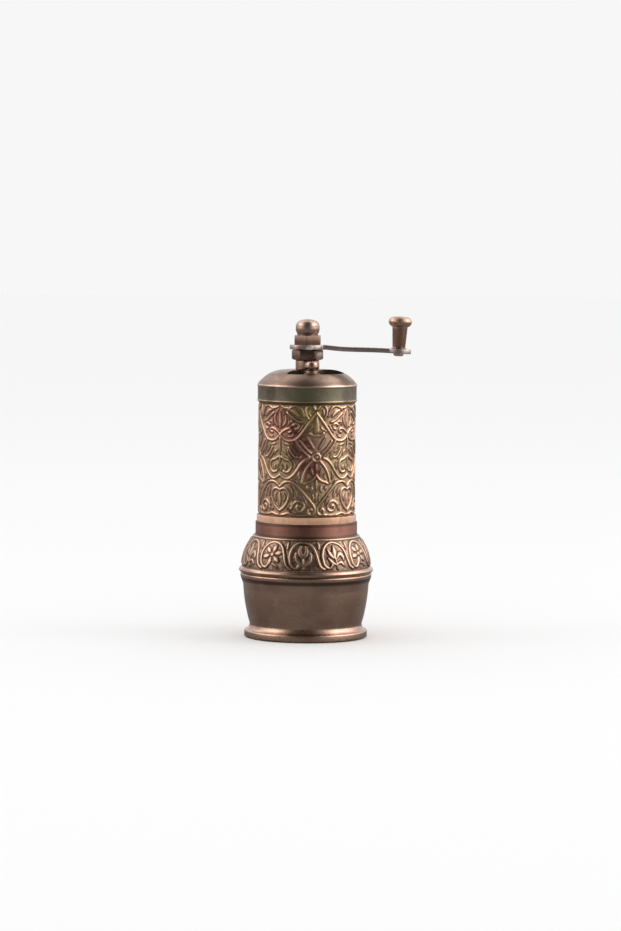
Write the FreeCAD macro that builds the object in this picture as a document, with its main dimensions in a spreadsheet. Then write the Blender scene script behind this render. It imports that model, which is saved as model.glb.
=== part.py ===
import FreeCAD, Part
import Sketcher
import math
import os

# Small hand mill for coffee: a cast cup, an embossed barrel, a domed lid and a top crank.
# The origin is the centre of the face it stands on, +Z is up and the crank points along +X.

doc = FreeCAD.newDocument("coffee_mill")
sheet = doc.addObject("Spreadsheet::Sheet", "Spec")

SIZES = {
    # Cup
    "cup_height": 39.0,
    "cup_wall": 1.8,
    "cup_floor": 2.6,
    "cup_corner": 2.7,
    "neck_band": 4.3,
    "neck_lip": 0.65,
    "shoulder_step": 0.4,
    "bulge_radius": 21.85,
    "bead_height": 22.6,
    "bead_half": 1.3,
    "bead_round": 0.75,
    "ledge_radius": 22.0,
    "ledge_drop": 0.9,
    "cove_drop": 2.4,
    "cove_step": 0.85,
    "waist_radius": 18.9,
    "waist_height": 4.6,
    "foot_radius": 20.7,
    "foot_height": 2.6,
    "foot_round": 0.5,
    # Barrel
    "barrel_radius": 16.45,
    "barrel_length": 40.5,
    "field_depth": 0.15,
    "lower_band": 2.4,
    "band_lip": 0.25,
    "upper_band": 0.7,
    "spigot_step": 1.0,
    "spigot_wall": 1.7,
    "spigot_length": 6.0,
    "tenon_step": 0.9,
    "tenon_length": 4.0,
    "burr_ledge": 0.5,
    # Fits and running gaps
    "slide_fit": 0.08,
    "press_fit": 0.02,
    "shaft_fit": 0.05,
    "seat_gap": 0.05,
    "nut_gap": 0.12,
    "edge_break": 0.25,
    # Lid and hopper plate
    "lid_lip": 0.35,
    "lid_band": 5.75,
    "lid_edge": 0.25,
    "lid_wall": 1.4,
    "dome_rise": 4.65,
    "dome_clear": 0.5,
    "crown_radius": 7.0,
    "window_inner": 4.9,
    "window_outer": 12.0,
    "window_corner": 1.0,
    "window_right_start": -66.0,
    "window_right_end": 8.0,
    "window_left_start": -123.0,
    "window_left_end": -97.0,
    "lid_knob_angle": -81.5,
    "lid_knob_reach": 9.8,
    "lid_knob_radius": 2.25,
    "lid_knob_gap": 0.25,
    "lid_knob_middle": 1.5,
    "lid_knob_crown": 1.6,
    "lid_knob_foot": 2.15,
    "lid_knob_neck": 1.6,
    "lid_knob_pin": 0.9,
    "lid_knob_tail": 1.4,
    "plate_ledge": 0.9,
    "plate_thick": 1.6,
    "plate_rim": 1.8,
    "plate_hub_radius": 4.7,
    "plate_hub_height": 3.0,
    # Axle and bush
    "axle_radius": 2.5,
    "axle_square": 3.5,
    "axle_stud": 1.7,
    "axle_tip": 1.7,
    "bush_wall": 0.75,
    "bush_head_radius": 3.9,
    "bush_head_height": 3.08,
    # Burrs
    "ring_height": 12.0,
    "ring_rim": 1.4,
    "burr_inset": 2.0,
    "cone_height": 11.5,
    "cone_base": 7.8,
    "cone_middle": 6.4,
    "cone_top": 4.4,
    "fine_height": 4.5,
    "fine_depth": 0.7,
    "coarse_depth": 1.3,
    "burr_gap": 0.4,
    "fine_twist": 16.0,
    "coarse_twist": 48.0,
    "cone_fine_teeth": 18,
    "cone_coarse_teeth": 5,
    "ring_fine_teeth": 20,
    "ring_coarse_teeth": 6,
    # Clip, bridge and adjuster
    "clip_thick": 0.8,
    "clip_radius": 3.4,
    "clip_groove": 0.4,
    "clip_mouth": 2.2,
    "tip_length": 0.7,
    "ball_radius": 1.5,
    "ball_sink": 0.6,
    "bridge_thick": 2.0,
    "bridge_width": 7.0,
    "bridge_end": 1.3,
    "boss_radius": 3.7,
    "boss_height": 2.4,
    "screw_radius": 1.15,
    "screw_length": 7.0,
    "screw_head_radius": 2.1,
    "screw_head_height": 1.4,
    "screw_slot": 0.6,
    "screw_slot_depth": 0.7,
    "adjuster_radius": 2.0,
    "adjuster_length": 8.5,
    "adjuster_head_radius": 3.4,
    "adjuster_head_height": 2.5,
    "adjuster_slot": 0.9,
    "adjuster_slot_depth": 1.25,
    "lock_nut_flats": 7.0,
    "lock_nut_height": 2.4,
    # Crank
    "arm_nut_flats": 9.15,
    "arm_nut_height": 3.55,
    "arm_thick": 1.5,
    "arm_hub_radius": 6.0,
    "arm_half_width": 3.1,
    "arm_tip_half_width": 2.65,
    "arm_eye_radius": 4.1,
    "arm_reach": 30.6,
    "arm_bend": 6.2,
    "arm_slope": 2.75,
    "cap_flats": 8.2,
    "cap_hex_height": 3.25,
    "cap_turn": 24.0,
    "cap_waist": 3.45,
    "cap_ball_radius": 4.0,
    "cap_ball_middle": 2.75,
    "cap_ball_top": 2.65,
    "cap_neck": 0.35,
    "cap_bore_depth": 6.2,
    # Handle knob
    "washer_radius": 2.5,
    "washer_thick": 0.35,
    "knob_float": 0.12,
    "knob_length": 10.28,
    "knob_base_radius": 2.3,
    "knob_neck_radius": 2.68,
    "knob_cap_radius": 3.92,
    "knob_cap_height": 4.15,
    "knob_lip": 2.4,
    "rivet_radius": 1.15,
    "rivet_head_radius": 1.9,
    "rivet_head_height": 0.7,
    "rivet_head_crown": 0.23,
    "rivet_tail_radius": 1.7,
    "rivet_tail_height": 0.9,
    "rivet_tail_edge": 0.3,
}

for row, (alias, size) in enumerate(SIZES.items(), start=1):
    sheet.set(f"A{row}", alias)
    sheet.set(f"B{row}", str(size))
    sheet.setAlias(f"B{row}", alias)
doc.recompute()

# Rise of a quarter and of a sixth of a circle over their chords, and of gentler curves
QUARTER = 0.2071
SIXTH = 0.134
FULL = 0.16
SLIGHT = 0.09
FAINT = 0.03
DOME = 0.15

# Where a flattened ball's shoulder passes into its crown, as shares of its radius and its upper height
CROWN_REACH = 0.68
CROWN_FOOT = 0.78

# Shares of a nut's corner that are turned off, and of its flats left on its end faces
NUT_CHAMFER = 0.6
NUT_FACE = 0.98

# Share of a burr tooth's pitch under its steep side, and the rings that a twisted tooth is drawn through
STEEP_SIDE = 0.25
TWIST_RINGS = 5


def number(text):
    """Value of a size formula."""
    return float(sheet.evalExpression(text))


def of(name):
    """One size of the sheet, as a formula."""
    return f"Spec.{name}"


def add(*terms):
    """Sum of formulas."""
    return "(" + " + ".join(terms) + ")"


def less(first, *terms):
    """First formula less the others."""
    return "(" + " - ".join((first,) + terms) + ")"


# Heights above the standing face
SEAT = of("cup_height")
BARREL_FOOT = add(SEAT, of("seat_gap"))
BARREL_END = less(BARREL_FOOT, of("spigot_length"))
LID_SEAT = add(BARREL_FOOT, of("barrel_length"))
TENON_TOP = add(LID_SEAT, of("tenon_length"))
PLATE_FOOT = less(TENON_TOP, of("plate_thick"))
LID_FOOT = add(LID_SEAT, of("seat_gap"))
DOME_FOOT = add(LID_FOOT, of("lid_band"))
DOME_TOP = add(DOME_FOOT, of("dome_rise"))
BUSH_HEAD = add(DOME_TOP, of("slide_fit"))
BUSH_TOP = add(BUSH_HEAD, of("bush_head_height"))
NUT_FOOT = add(BUSH_TOP, of("nut_gap"))
ARM_FOOT = add(NUT_FOOT, of("arm_nut_height"))
ARM_TOP = add(ARM_FOOT, of("arm_thick"))
CAP_TOP = add(ARM_TOP, of("cap_hex_height"))
RING_TOP = add(BARREL_END, of("ring_height"))
CONE_FOOT = add(BARREL_END, of("burr_inset"))
CONE_TOP = add(CONE_FOOT, of("cone_height"))
FINE_TOP = add(CONE_FOOT, of("fine_height"))
CLIP_TOP = less(CONE_FOOT, of("seat_gap"))
CLIP_FOOT = less(CLIP_TOP, of("clip_thick"))
AXLE_END = less(CLIP_FOOT, of("tip_length"))
BALL_MIDDLE = add(less(AXLE_END, of("ball_radius")), of("ball_sink"))
BALL_FOOT = less(BALL_MIDDLE, of("ball_radius"))
BRIDGE_FOOT = less(BARREL_END, of("bridge_thick"))
BOSS_FOOT = less(BRIDGE_FOOT, of("boss_height"))
ADJUSTER_TOP = less(BALL_FOOT, of("press_fit"))

# Radii that follow one another from the barrel inwards
NECK = add(of("barrel_radius"), of("neck_lip"))
NECK_BORE = less(of("barrel_radius"), of("spigot_step"))
SPIGOT = less(NECK_BORE, of("slide_fit"))
BURR_BORE = less(SPIGOT, of("spigot_wall"))
HOPPER = less(BURR_BORE, of("burr_ledge"))
TENON = less(of("barrel_radius"), of("tenon_step"))
PLATE_BORE = add(HOPPER, of("plate_ledge"))
PLATE = less(PLATE_BORE, of("press_fit"))
LID = add(of("barrel_radius"), of("lid_lip"))
LID_BORE = add(TENON, of("slide_fit"))
BUSH_BORE = add(of("axle_radius"), of("shaft_fit"))
BUSH = add(BUSH_BORE, of("bush_wall"))
RING = less(BURR_BORE, of("press_fit"))
THREAD_BORE = add(of("adjuster_radius"), of("shaft_fit"))
SHAFT_BORE = add(of("axle_radius"), of("press_fit"))
FINE_SLOPE = f"(({of('cone_base')} - {of('cone_middle')}) / {of('fine_height')})"
RING_EXIT = add(of("cone_base"), of("burr_gap"), f"{FINE_SLOPE} * {of('burr_inset')}")
RING_THROAT = add(of("cone_middle"), of("burr_gap"))
RING_MOUTH = less(RING, of("ring_rim"))
SCREW_REACH = f"(({RING_EXIT} + {of('fine_depth')} + {RING}) / 2)"

# Knob axis: square to the sloping arm, through the middle of its eye
ARM_DROP = f"(({of('arm_reach')} - {of('arm_bend')}) * tan({of('arm_slope')} * 1 deg))"
EYE_TOP = less(ARM_TOP, ARM_DROP)
KNOB_FOOT = add(of("washer_thick"), of("knob_float"))
KNOB_TOP = add(KNOB_FOOT, of("knob_length"))
RIVET_BORE = add(of("rivet_radius"), of("slide_fit"))


def new_body(label):
    """Empty body with its own label."""
    body = doc.addObject("PartDesign::Body", label)
    body.Label = label
    return body


def origin_plane(body, role):
    """One of the body's own base planes."""
    return next(item for item in body.Origin.OriginFeatures if item.Role == role)


def arc_through(start, end, rise):
    """Arc that stands out to the right of its chord by rise times its length."""
    chord = end - start
    side = FreeCAD.Vector(chord.y, -chord.x, 0)
    return Part.Arc(start, (start + end) * 0.5 + side * rise, end)


def arc_radius(start, end, rise):
    """Formula of the radius of such an arc between two points of formulas."""
    chord = f"sqrt(({end[0]} - {start[0]})^2 + ({end[1]} - {start[1]})^2)"
    return f"({chord} * {(0.25 + rise * rise) / (2 * abs(rise))})"


def end_at(sketch, edge, place):
    """Which end of an edge lies at a place: 1 for its start, 2 for its end."""
    return min((1, 2), key=lambda end: (sketch.getPoint(edge, end) - place).Length)


def bind(sketch, kind, text, *where):
    """Constraint whose value follows a formula."""
    index = sketch.addConstraint(Sketcher.Constraint(kind, *where, number(text)))
    sketch.setExpression(f"Constraints[{index}]", text)


def outline(body, role, points):
    """Closed sketch through points of two formulas each, with an arc where a rise is given third."""
    sketch = body.newObject("Sketcher::SketchObject", f"{body.Label}_outline")
    sketch.AttachmentSupport = (origin_plane(body, role), "")
    sketch.MapMode = "FlatFace"
    places = [FreeCAD.Vector(number(point[0]), number(point[1]), 0) for point in points]
    for edge, point in enumerate(points):
        following = (edge + 1) % len(points)
        if len(point) == 3:
            sketch.addGeometry(arc_through(places[edge], places[following], point[2]))
        else:
            sketch.addGeometry(Part.LineSegment(places[edge], places[following]))
    for edge, point in enumerate(points):
        before = edge - 1 if edge else len(points) - 1
        start = end_at(sketch, edge, places[edge])
        sketch.addConstraint(
            Sketcher.Constraint("Coincident", before, end_at(sketch, before, places[edge]), edge, start))
        bind(sketch, "DistanceX", point[0], edge, start)
        bind(sketch, "DistanceY", point[1], edge, start)
    for edge, point in enumerate(points):
        if len(point) == 3:
            bind(sketch, "Radius", arc_radius(point, points[(edge + 1) % len(points)], point[2]), edge)
    return sketch


def turned(label, points):
    """Body turned about the Z axis from an outline of radii and heights."""
    body = new_body(label)
    sketch = outline(body, "XZ_Plane", points)
    turn = body.newObject("PartDesign::Revolution", f"{label}_turn")
    turn.Profile = sketch
    turn.ReferenceAxis = (sketch, ["V_Axis"])
    turn.Angle = 360
    return body


def padded(label, role, points, length, foot="0", midplane=False):
    """Body extruded from an outline."""
    body = new_body(label)
    pad = body.newObject("PartDesign::Pad", f"{label}_pad")
    pad.Profile = outline(body, role, points)
    pad.setExpression("Length", length)
    pad.Midplane = midplane
    body.setExpression("Placement.Base.z", foot)
    return body


def primitive(kind, name, foot, across="0", **sizes):
    """Part primitive with its sizes and its place along X and Z bound to formulas."""
    solid = doc.addObject(f"Part::{kind}", name)
    for key, text in sizes.items():
        solid.setExpression(key, text)
    solid.setExpression("Placement.Base.x", across)
    solid.setExpression("Placement.Base.z", foot)
    return solid


def cylinder(name, radius, height, foot, across="0"):
    """Upright round bar."""
    return primitive("Cylinder", name, foot, across, Radius=radius, Height=height)


def block(name, length, width, height, foot, across="0"):
    """Upright block, centred on its place along X and on the XZ plane."""
    start = f"({across} - {length} / 2)"
    solid = primitive("Box", name, foot, start, Length=length, Width=width, Height=height)
    solid.setExpression("Placement.Base.y", f"-{width} / 2")
    return solid


def joined(label, *solids):
    """Union of solids."""
    union = doc.addObject("Part::MultiFuse", label)
    union.Label = label
    union.Shapes = list(solids)
    return union


def cut(label, base, *tools):
    """Base less the tools."""
    result = doc.addObject("Part::Cut", label)
    result.Label = label
    result.Base = base
    result.Tool = tools[0] if len(tools) == 1 else joined(f"{label}_tools", *tools)
    return result


def common(label, first, second):
    """What two solids share."""
    result = doc.addObject("Part::Common", label)
    result.Label = label
    result.Base = first
    result.Tool = second
    return result


def hexagon(label, flats, height, foot):
    """Six-sided bar with the corners of both ends turned off."""
    corner = f"({flats} / sqrt(3))"
    blank = primitive("Prism", f"{label}_blank", foot, Circumradius=corner, Height=height)
    blank.Polygon = 6
    chamfer = f"(({corner} - {flats} / 2) * {NUT_CHAMFER})"
    flat = f"({flats} / 2 * {NUT_FACE})"
    turned_shape = turned(f"{label}_turning", [
        ("0", foot),
        (flat, foot),
        (corner, add(foot, chamfer)),
        (corner, less(add(foot, height), chamfer)),
        (flat, add(foot, height)),
        ("0", add(foot, height)),
    ])
    return common(f"{label}_hexagon", blank, turned_shape)


def square_waste(name, side, height, foot):
    """What is cut from round stock to leave a square."""
    stock = cylinder(f"{name}_stock", add(of("axle_radius"), side), height, foot)
    return cut(f"{name}_waste", stock, block(f"{name}_square", side, side, height, foot))


def stand_at(solid, reach, angle, foot):
    """Place a solid at a reach and angle about the Z axis, upright."""
    solid.setExpression("Placement.Base.x", f"{reach} * cos({angle} * 1 deg)")
    solid.setExpression("Placement.Base.y", f"{reach} * sin({angle} * 1 deg)")
    solid.setExpression("Placement.Base.z", foot)


def turn_about(solid, axis, angle):
    """Turn a solid about an axis through its own origin."""
    solid.Placement.Rotation = FreeCAD.Rotation(axis, number(angle))
    solid.setExpression("Placement.Rotation.Angle", f"{angle} * 1 deg")


def lean(solid, along="0"):
    """Place a solid, made on the Z axis, on the knob's leaning axis, some way along it."""
    turn_about(solid, FreeCAD.Vector(0, 1, 0), of("arm_slope"))
    solid.setExpression("Placement.Base.x", f"{of('arm_reach')} + {along} * sin({of('arm_slope')} * 1 deg)")
    solid.setExpression("Placement.Base.z", f"{EYE_TOP} + {along} * cos({of('arm_slope')} * 1 deg)")
    return solid


def base_cup():
    """Cup with a bulged wall, a bead at its widest, a drawn-in foot and a plain neck."""
    bead_top = add(of("bead_height"), of("bead_half"))
    bead_foot = less(of("bead_height"), of("bead_half"))
    bead = add(of("bulge_radius"), of("bead_round"))
    ledge_foot = less(bead_foot, of("ledge_drop"))
    cove_foot = less(ledge_foot, of("cove_drop"))
    shoulder = add(NECK, of("shoulder_step"))
    shoulder_top = less(SEAT, of("neck_band"))
    foot_shoulder = less(of("foot_radius"), of("foot_round"))
    cove = less(of("ledge_radius"), of("cove_step"))
    narrower = "min({}; {})".format(of("bulge_radius"), of("ledge_radius"))
    inside_foot = less(of("waist_radius"), of("cup_wall"))
    neck_end = less(BARREL_END, of("cup_wall"))
    return turned("base_cup", [
        ("0", "0"),
        (foot_shoulder, "0"),
        (of("foot_radius"), of("foot_round")),
        (of("foot_radius"), less(of("foot_height"), of("foot_round")), QUARTER),
        (foot_shoulder, of("foot_height"), -FULL),
        (of("waist_radius"), of("waist_height"), FAINT),
        (cove, cove_foot),
        (of("ledge_radius"), ledge_foot),
        (of("ledge_radius"), bead_foot),
        (of("bulge_radius"), bead_foot, SIXTH),
        (bead, of("bead_height"), SIXTH),
        (of("bulge_radius"), bead_top, SLIGHT),
        (shoulder, shoulder_top),
        (NECK, shoulder_top),
        (NECK, SEAT),
        (NECK_BORE, SEAT),
        (NECK_BORE, neck_end, -SLIGHT),
        (less(of("bulge_radius"), of("cup_wall")), bead_top),
        (less(narrower, of("cup_wall")), bead_foot),
        (less(cove, of("cup_wall")), cove_foot),
        (inside_foot, add(of("cup_floor"), of("cup_corner")), QUARTER),
        (less(inside_foot, of("cup_corner")), of("cup_floor")),
        ("0", of("cup_floor")),
    ])


def barrel():
    """Tube with plain bands, a spigot for the cup below and a tenon for the lid above."""
    field = less(of("barrel_radius"), of("field_depth"))
    band = add(of("barrel_radius"), of("band_lip"))
    band_top = add(BARREL_FOOT, of("lower_band"))
    band_foot = less(LID_SEAT, of("upper_band"))
    return turned("barrel", [
        (BURR_BORE, BARREL_END),
        (SPIGOT, BARREL_END),
        (SPIGOT, BARREL_FOOT),
        (band, BARREL_FOOT),
        (band, band_top),
        (field, add(band_top, of("field_depth"))),
        (field, less(band_foot, of("field_depth"))),
        (of("barrel_radius"), band_foot),
        (of("barrel_radius"), LID_SEAT),
        (TENON, LID_SEAT),
        (TENON, TENON_TOP),
        (PLATE_BORE, TENON_TOP),
        (PLATE_BORE, PLATE_FOOT),
        (HOPPER, PLATE_FOOT),
        (HOPPER, RING_TOP),
        (BURR_BORE, RING_TOP),
    ])


def lid_shell():
    """Domed cover with a plain band, before its windows are cut."""
    under = less(DOME_TOP, of("lid_wall"))
    spring = add(TENON_TOP, of("dome_clear"))
    hole = add(BUSH, of("slide_fit"))
    return turned("lid_shell", [
        (LID_BORE, LID_FOOT),
        (LID, LID_FOOT),
        (LID, less(DOME_FOOT, of("lid_edge"))),
        (less(LID, of("lid_edge")), DOME_FOOT, DOME),
        (of("crown_radius"), DOME_TOP),
        (hole, DOME_TOP),
        (hole, under),
        (of("crown_radius"), under, -DOME),
        (LID_BORE, spring),
    ])


def crown(radius, height):
    """Rise of an arc that rounds off on the axis, from a radius and a height below its top."""
    return math.tan(math.atan(number(height) / number(radius)) / 2) / 2


def polar(reach, angle):
    """Point at a reach and an angle, as two formulas."""
    return (f"({reach} * cos({angle} * 1 deg))", f"({reach} * sin({angle} * 1 deg))")


def window(name, start, end):
    """Cutter for one feed window: part of a ring, its upright corners rounded."""
    rise = math.tan(math.radians(number(end) - number(start)) / 4) / 2
    cutter = padded(name, "XY_Plane", [
        polar(of("window_inner"), start),
        polar(of("window_outer"), start) + (rise,),
        polar(of("window_outer"), end),
        polar(of("window_inner"), end) + (-rise,),
    ], add(of("dome_rise"), of("lid_wall")), DOME_FOOT)
    doc.recompute()
    upright = [index for index, edge in enumerate(cutter.Shape.Edges, start=1)
               if abs(edge.tangentAt(edge.FirstParameter).z) > 0.99]
    rounded = doc.addObject("Part::Fillet", f"{name}_rounded")
    rounded.Base = cutter
    corner = number(of("window_corner"))
    rounded.Edges = [(index, corner, corner) for index in upright]
    return rounded


def lid():
    """Domed cover with two feed windows and the hole for its knob's pin."""
    pin_hole = cylinder(
        "lid_pin_hole", add(of("lid_knob_pin"), of("press_fit")),
        add(of("dome_rise"), of("lid_wall")), DOME_FOOT)
    stand_at(pin_hole, of("lid_knob_reach"), of("lid_knob_angle"), DOME_FOOT)
    return cut(
        "lid", lid_shell(), pin_hole,
        window("right_window", of("window_right_start"), of("window_right_end")),
        window("left_window", of("window_left_start"), of("window_left_end")))


def lid_knob(cover):
    """Ball on a foot that follows the dome, with a pin through the lid, peened inside."""
    inside = f"(0 - {of('lid_wall')})"
    foot = less(inside, of("lid_knob_foot"))
    tail_foot = less(inside, of("lid_knob_tail"))
    ball_middle = add(of("lid_knob_gap"), of("lid_knob_middle"))
    shoulder = add(ball_middle, f"{of('lid_knob_crown')} * {CROWN_FOOT}")
    crown_radius = f"({of('lid_knob_radius')} * {CROWN_REACH})"
    crown_height = f"({of('lid_knob_crown')} * {1 - CROWN_FOOT})"
    stock = turned("lid_knob_stock", [
        ("0", foot),
        (of("lid_knob_foot"), foot),
        (of("lid_knob_foot"), "0", -SLIGHT),
        (of("lid_knob_neck"), of("lid_knob_gap"), FULL),
        (of("lid_knob_radius"), ball_middle, FULL),
        (crown_radius, shoulder, crown(crown_radius, crown_height)),
        ("0", add(ball_middle, of("lid_knob_crown"))),
    ])
    pin = turned("lid_knob_pin_stock", [
        ("0", tail_foot),
        (of("lid_knob_tail"), tail_foot),
        (of("lid_knob_tail"), inside),
        (of("lid_knob_pin"), inside),
        (of("lid_knob_pin"), of("lid_knob_gap")),
        ("0", of("lid_knob_gap")),
    ])
    dome = turned("dome_form", [
        ("0", DOME_FOOT),
        (less(LID, of("lid_edge")), DOME_FOOT, DOME),
        (of("crown_radius"), DOME_TOP),
        ("0", DOME_TOP),
    ])
    for piece in (stock, pin):
        stand_at(piece, of("lid_knob_reach"), of("lid_knob_angle"), DOME_TOP)
    return joined("lid_knob", cut("lid_knob_ball", stock, dome), cut("lid_knob_pin", pin, cover))


def hopper_plate():
    """Plate in the mouth of the barrel, open on the side of the windows, with a hub for the bush."""
    facing = f"(({of('window_left_start')} + {of('window_right_end')}) / 2)"
    reach = less(PLATE, of("plate_rim"))
    opening = padded("plate_opening", "XY_Plane", [
        polar(reach, less(facing, "90")) + (QUARTER,),
        polar(reach, facing) + (QUARTER,),
        polar(reach, add(facing, "90")),
    ], of("plate_thick"), PLATE_FOOT)
    disc = cylinder("plate_disc", PLATE, of("plate_thick"), PLATE_FOOT)
    hub = cylinder("plate_hub", of("plate_hub_radius"), of("plate_hub_height"), PLATE_FOOT)
    bore = cylinder("plate_bore", add(BUSH, of("press_fit")), of("plate_hub_height"), PLATE_FOOT)
    return cut("hopper_plate", joined("plate_blank", cut("plate_open", disc, opening), hub), bore)


def axle_bush():
    """Headed bush, held in the hopper plate, round which the lid turns."""
    edge = of("edge_break")
    return turned("axle_bush", [
        (BUSH_BORE, PLATE_FOOT),
        (BUSH, PLATE_FOOT),
        (BUSH, BUSH_HEAD),
        (of("bush_head_radius"), BUSH_HEAD),
        (of("bush_head_radius"), less(BUSH_TOP, edge), QUARTER),
        (less(of("bush_head_radius"), edge), BUSH_TOP),
        (BUSH_BORE, BUSH_TOP),
    ])


def axle():
    """Spindle with a square for the burr, a square and a stud for the crank and a cupped end."""
    groove = less(of("axle_tip"), of("clip_groove"))
    stud_top = less(add(ARM_TOP, of("cap_bore_depth")), of("nut_gap"))
    spindle = turned("axle_spindle", [
        ("0", AXLE_END),
        (of("axle_tip"), AXLE_END),
        (of("axle_tip"), CLIP_FOOT),
        (groove, CLIP_FOOT),
        (groove, CONE_FOOT),
        (of("axle_radius"), CONE_FOOT),
        (of("axle_radius"), ARM_TOP),
        (of("axle_stud"), ARM_TOP),
        (of("axle_stud"), stud_top),
        ("0", stud_top),
    ])
    cup = primitive("Sphere", "axle_cup", BALL_MIDDLE, Radius=add(of("ball_radius"), of("press_fit")))
    return cut(
        "axle", spindle, cup,
        square_waste("burr_seat", of("axle_square"), of("cone_height"), CONE_FOOT),
        square_waste("arm_seat", of("axle_square"), of("arm_thick"), ARM_FOOT))


def toothed(name, teeth, twist, foot, levels):
    """Solid through saw-toothed rings, each given by a height above the foot, a tip and a root radius."""
    count = int(number(teeth))
    pitch = 2 * math.pi / count
    low, low_tip, low_root = [number(text) for text in levels[0]]
    high, high_tip, high_root = [number(text) for text in levels[1]]
    rings = []
    for ring in range(TWIST_RINGS):
        share = ring / (TWIST_RINGS - 1)
        tip = low_tip + (high_tip - low_tip) * share
        root = low_root + (high_root - low_root) * share
        height = number(foot) + low + (high - low) * share
        turn = math.radians(number(twist)) * share
        corners = []
        for tooth in range(count):
            for radius, angle in ((tip, turn + tooth * pitch), (root, turn + (tooth + STEEP_SIDE) * pitch)):
                corners.append(FreeCAD.Vector(radius * math.cos(angle), radius * math.sin(angle), height))
        rings.append(Part.makePolygon(corners + corners[:1]))
    solid = doc.addObject("Part::Feature", name)
    solid.Shape = Part.makeLoft(rings, True, True)
    return solid


def inner_burr():
    """Cone with fine helical teeth at its base and coarse flutes above, on the axle's square."""
    hole = add(of("axle_square"), of("press_fit"))
    fine = toothed("cone_fine", of("cone_fine_teeth"), of("fine_twist"), CONE_FOOT, [
        ("0", of("cone_base"), less(of("cone_base"), of("fine_depth"))),
        (of("fine_height"), of("cone_middle"), less(of("cone_middle"), of("fine_depth"))),
    ])
    coarse = toothed("cone_coarse", of("cone_coarse_teeth"), of("coarse_twist"), CONE_FOOT, [
        (of("fine_height"), of("cone_middle"), less(of("cone_middle"), of("coarse_depth"))),
        (of("cone_height"), of("cone_top"), less(of("cone_top"), of("coarse_depth"))),
    ])
    return cut(
        "inner_burr", joined("cone_blank", fine, coarse),
        block("cone_hole", hole, hole, of("cone_height"), CONE_FOOT))


def ring_burr():
    """Ring in the foot of the barrel: fine teeth beside the cone's, coarse flutes up to its mouth."""
    rise = add(of("burr_inset"), of("fine_height"))
    fine = toothed("ring_fine", of("ring_fine_teeth"), of("fine_twist"), BARREL_END, [
        ("0", RING_EXIT, add(RING_EXIT, of("fine_depth"))),
        (rise, RING_THROAT, add(RING_THROAT, of("fine_depth"))),
    ])
    coarse = toothed("ring_coarse", of("ring_coarse_teeth"), of("coarse_twist"), BARREL_END, [
        (rise, RING_THROAT, add(RING_THROAT, of("coarse_depth"))),
        (of("ring_height"), less(RING_MOUTH, of("coarse_depth")), RING_MOUTH),
    ])
    blank = cylinder("ring_blank", RING, of("ring_height"), BARREL_END)
    return cut("ring_burr", blank, fine, coarse, *screw_holes("ring"))


def screw_holes(name):
    """The two holes for the bridge screws."""
    radius = add(of("screw_radius"), of("press_fit"))
    length = add(of("screw_length"), of("press_fit"))
    return [cylinder(f"{name}_hole_{side}", radius, length, BRIDGE_FOOT, f"({SCREW_REACH} * {sign})")
            for side, sign in (("right", 1), ("left", -1))]


def burr_clip():
    """Open ring in the axle's groove, under the inner burr."""
    groove = less(of("axle_tip"), of("clip_groove"))
    ring = cylinder("clip_ring", of("clip_radius"), of("clip_thick"), CLIP_FOOT)
    hole = cylinder("clip_hole", add(groove, of("press_fit")), of("clip_thick"), CLIP_FOOT)
    mouth = block("clip_mouth", of("clip_radius"), of("clip_mouth"), of("clip_thick"), CLIP_FOOT,
                  f"(0 - {of('clip_radius')} / 2)")
    return cut("burr_clip", ring, hole, mouth)


def lower_bridge():
    """Strap across the foot of the ring burr, with a threaded boss for the adjuster."""
    half_length = add(SCREW_REACH, of("bridge_end"))
    half_width = f"({of('bridge_width')} / 2)"
    strap = padded("bridge_strap", "XY_Plane", [
        (f"(0 - {half_length})", f"(0 - {half_width})"),
        (half_length, f"(0 - {half_width})", FULL),
        (half_length, half_width),
        (f"(0 - {half_length})", half_width, FULL),
    ], of("bridge_thick"), BRIDGE_FOOT)
    boss = cylinder("bridge_boss", of("boss_radius"), of("boss_height"), BOSS_FOOT)
    thread = cylinder("bridge_thread", THREAD_BORE, add(of("boss_height"), of("bridge_thick")), BOSS_FOOT)
    return cut("lower_bridge", joined("bridge_blank", strap, boss), thread, *screw_holes("bridge"))


def bridge_screws():
    """Two slotted screws from below, through the strap into the ring burr."""
    head_foot = less(BRIDGE_FOOT, of("screw_head_height"))
    screws = []
    for side, sign in (("right", 1), ("left", -1)):
        place = f"({SCREW_REACH} * {sign})"
        shank = cylinder(f"screw_shank_{side}", of("screw_radius"), of("screw_length"), BRIDGE_FOOT, place)
        head = cylinder(
            f"screw_head_{side}", of("screw_head_radius"), of("screw_head_height"), head_foot, place)
        slot = block(f"screw_slot_{side}", f"({of('screw_head_radius')} * 2)", of("screw_slot"),
                     of("screw_slot_depth"), head_foot, place)
        screws.append(cut(f"screw_{side}", joined(f"screw_blank_{side}", shank, head), slot))
    group = doc.addObject("Part::Compound", "bridge_screws")
    group.Links = screws
    return group


def adjust_screw():
    """Slotted screw under the thrust ball."""
    head_top = less(ADJUSTER_TOP, of("adjuster_length"))
    head_foot = less(head_top, of("adjuster_head_height"))
    edge = of("edge_break")
    stock = turned("adjuster_stock", [
        ("0", head_foot),
        (less(of("adjuster_head_radius"), edge), head_foot),
        (of("adjuster_head_radius"), add(head_foot, edge)),
        (of("adjuster_head_radius"), head_top),
        (of("adjuster_radius"), head_top),
        (of("adjuster_radius"), less(ADJUSTER_TOP, edge)),
        (less(of("adjuster_radius"), edge), ADJUSTER_TOP),
        ("0", ADJUSTER_TOP),
    ])
    slot = block("adjuster_slot", f"({of('adjuster_head_radius')} * 2)", of("adjuster_slot"),
                 of("adjuster_slot_depth"), head_foot)
    return cut("adjust_screw", stock, slot)


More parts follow.
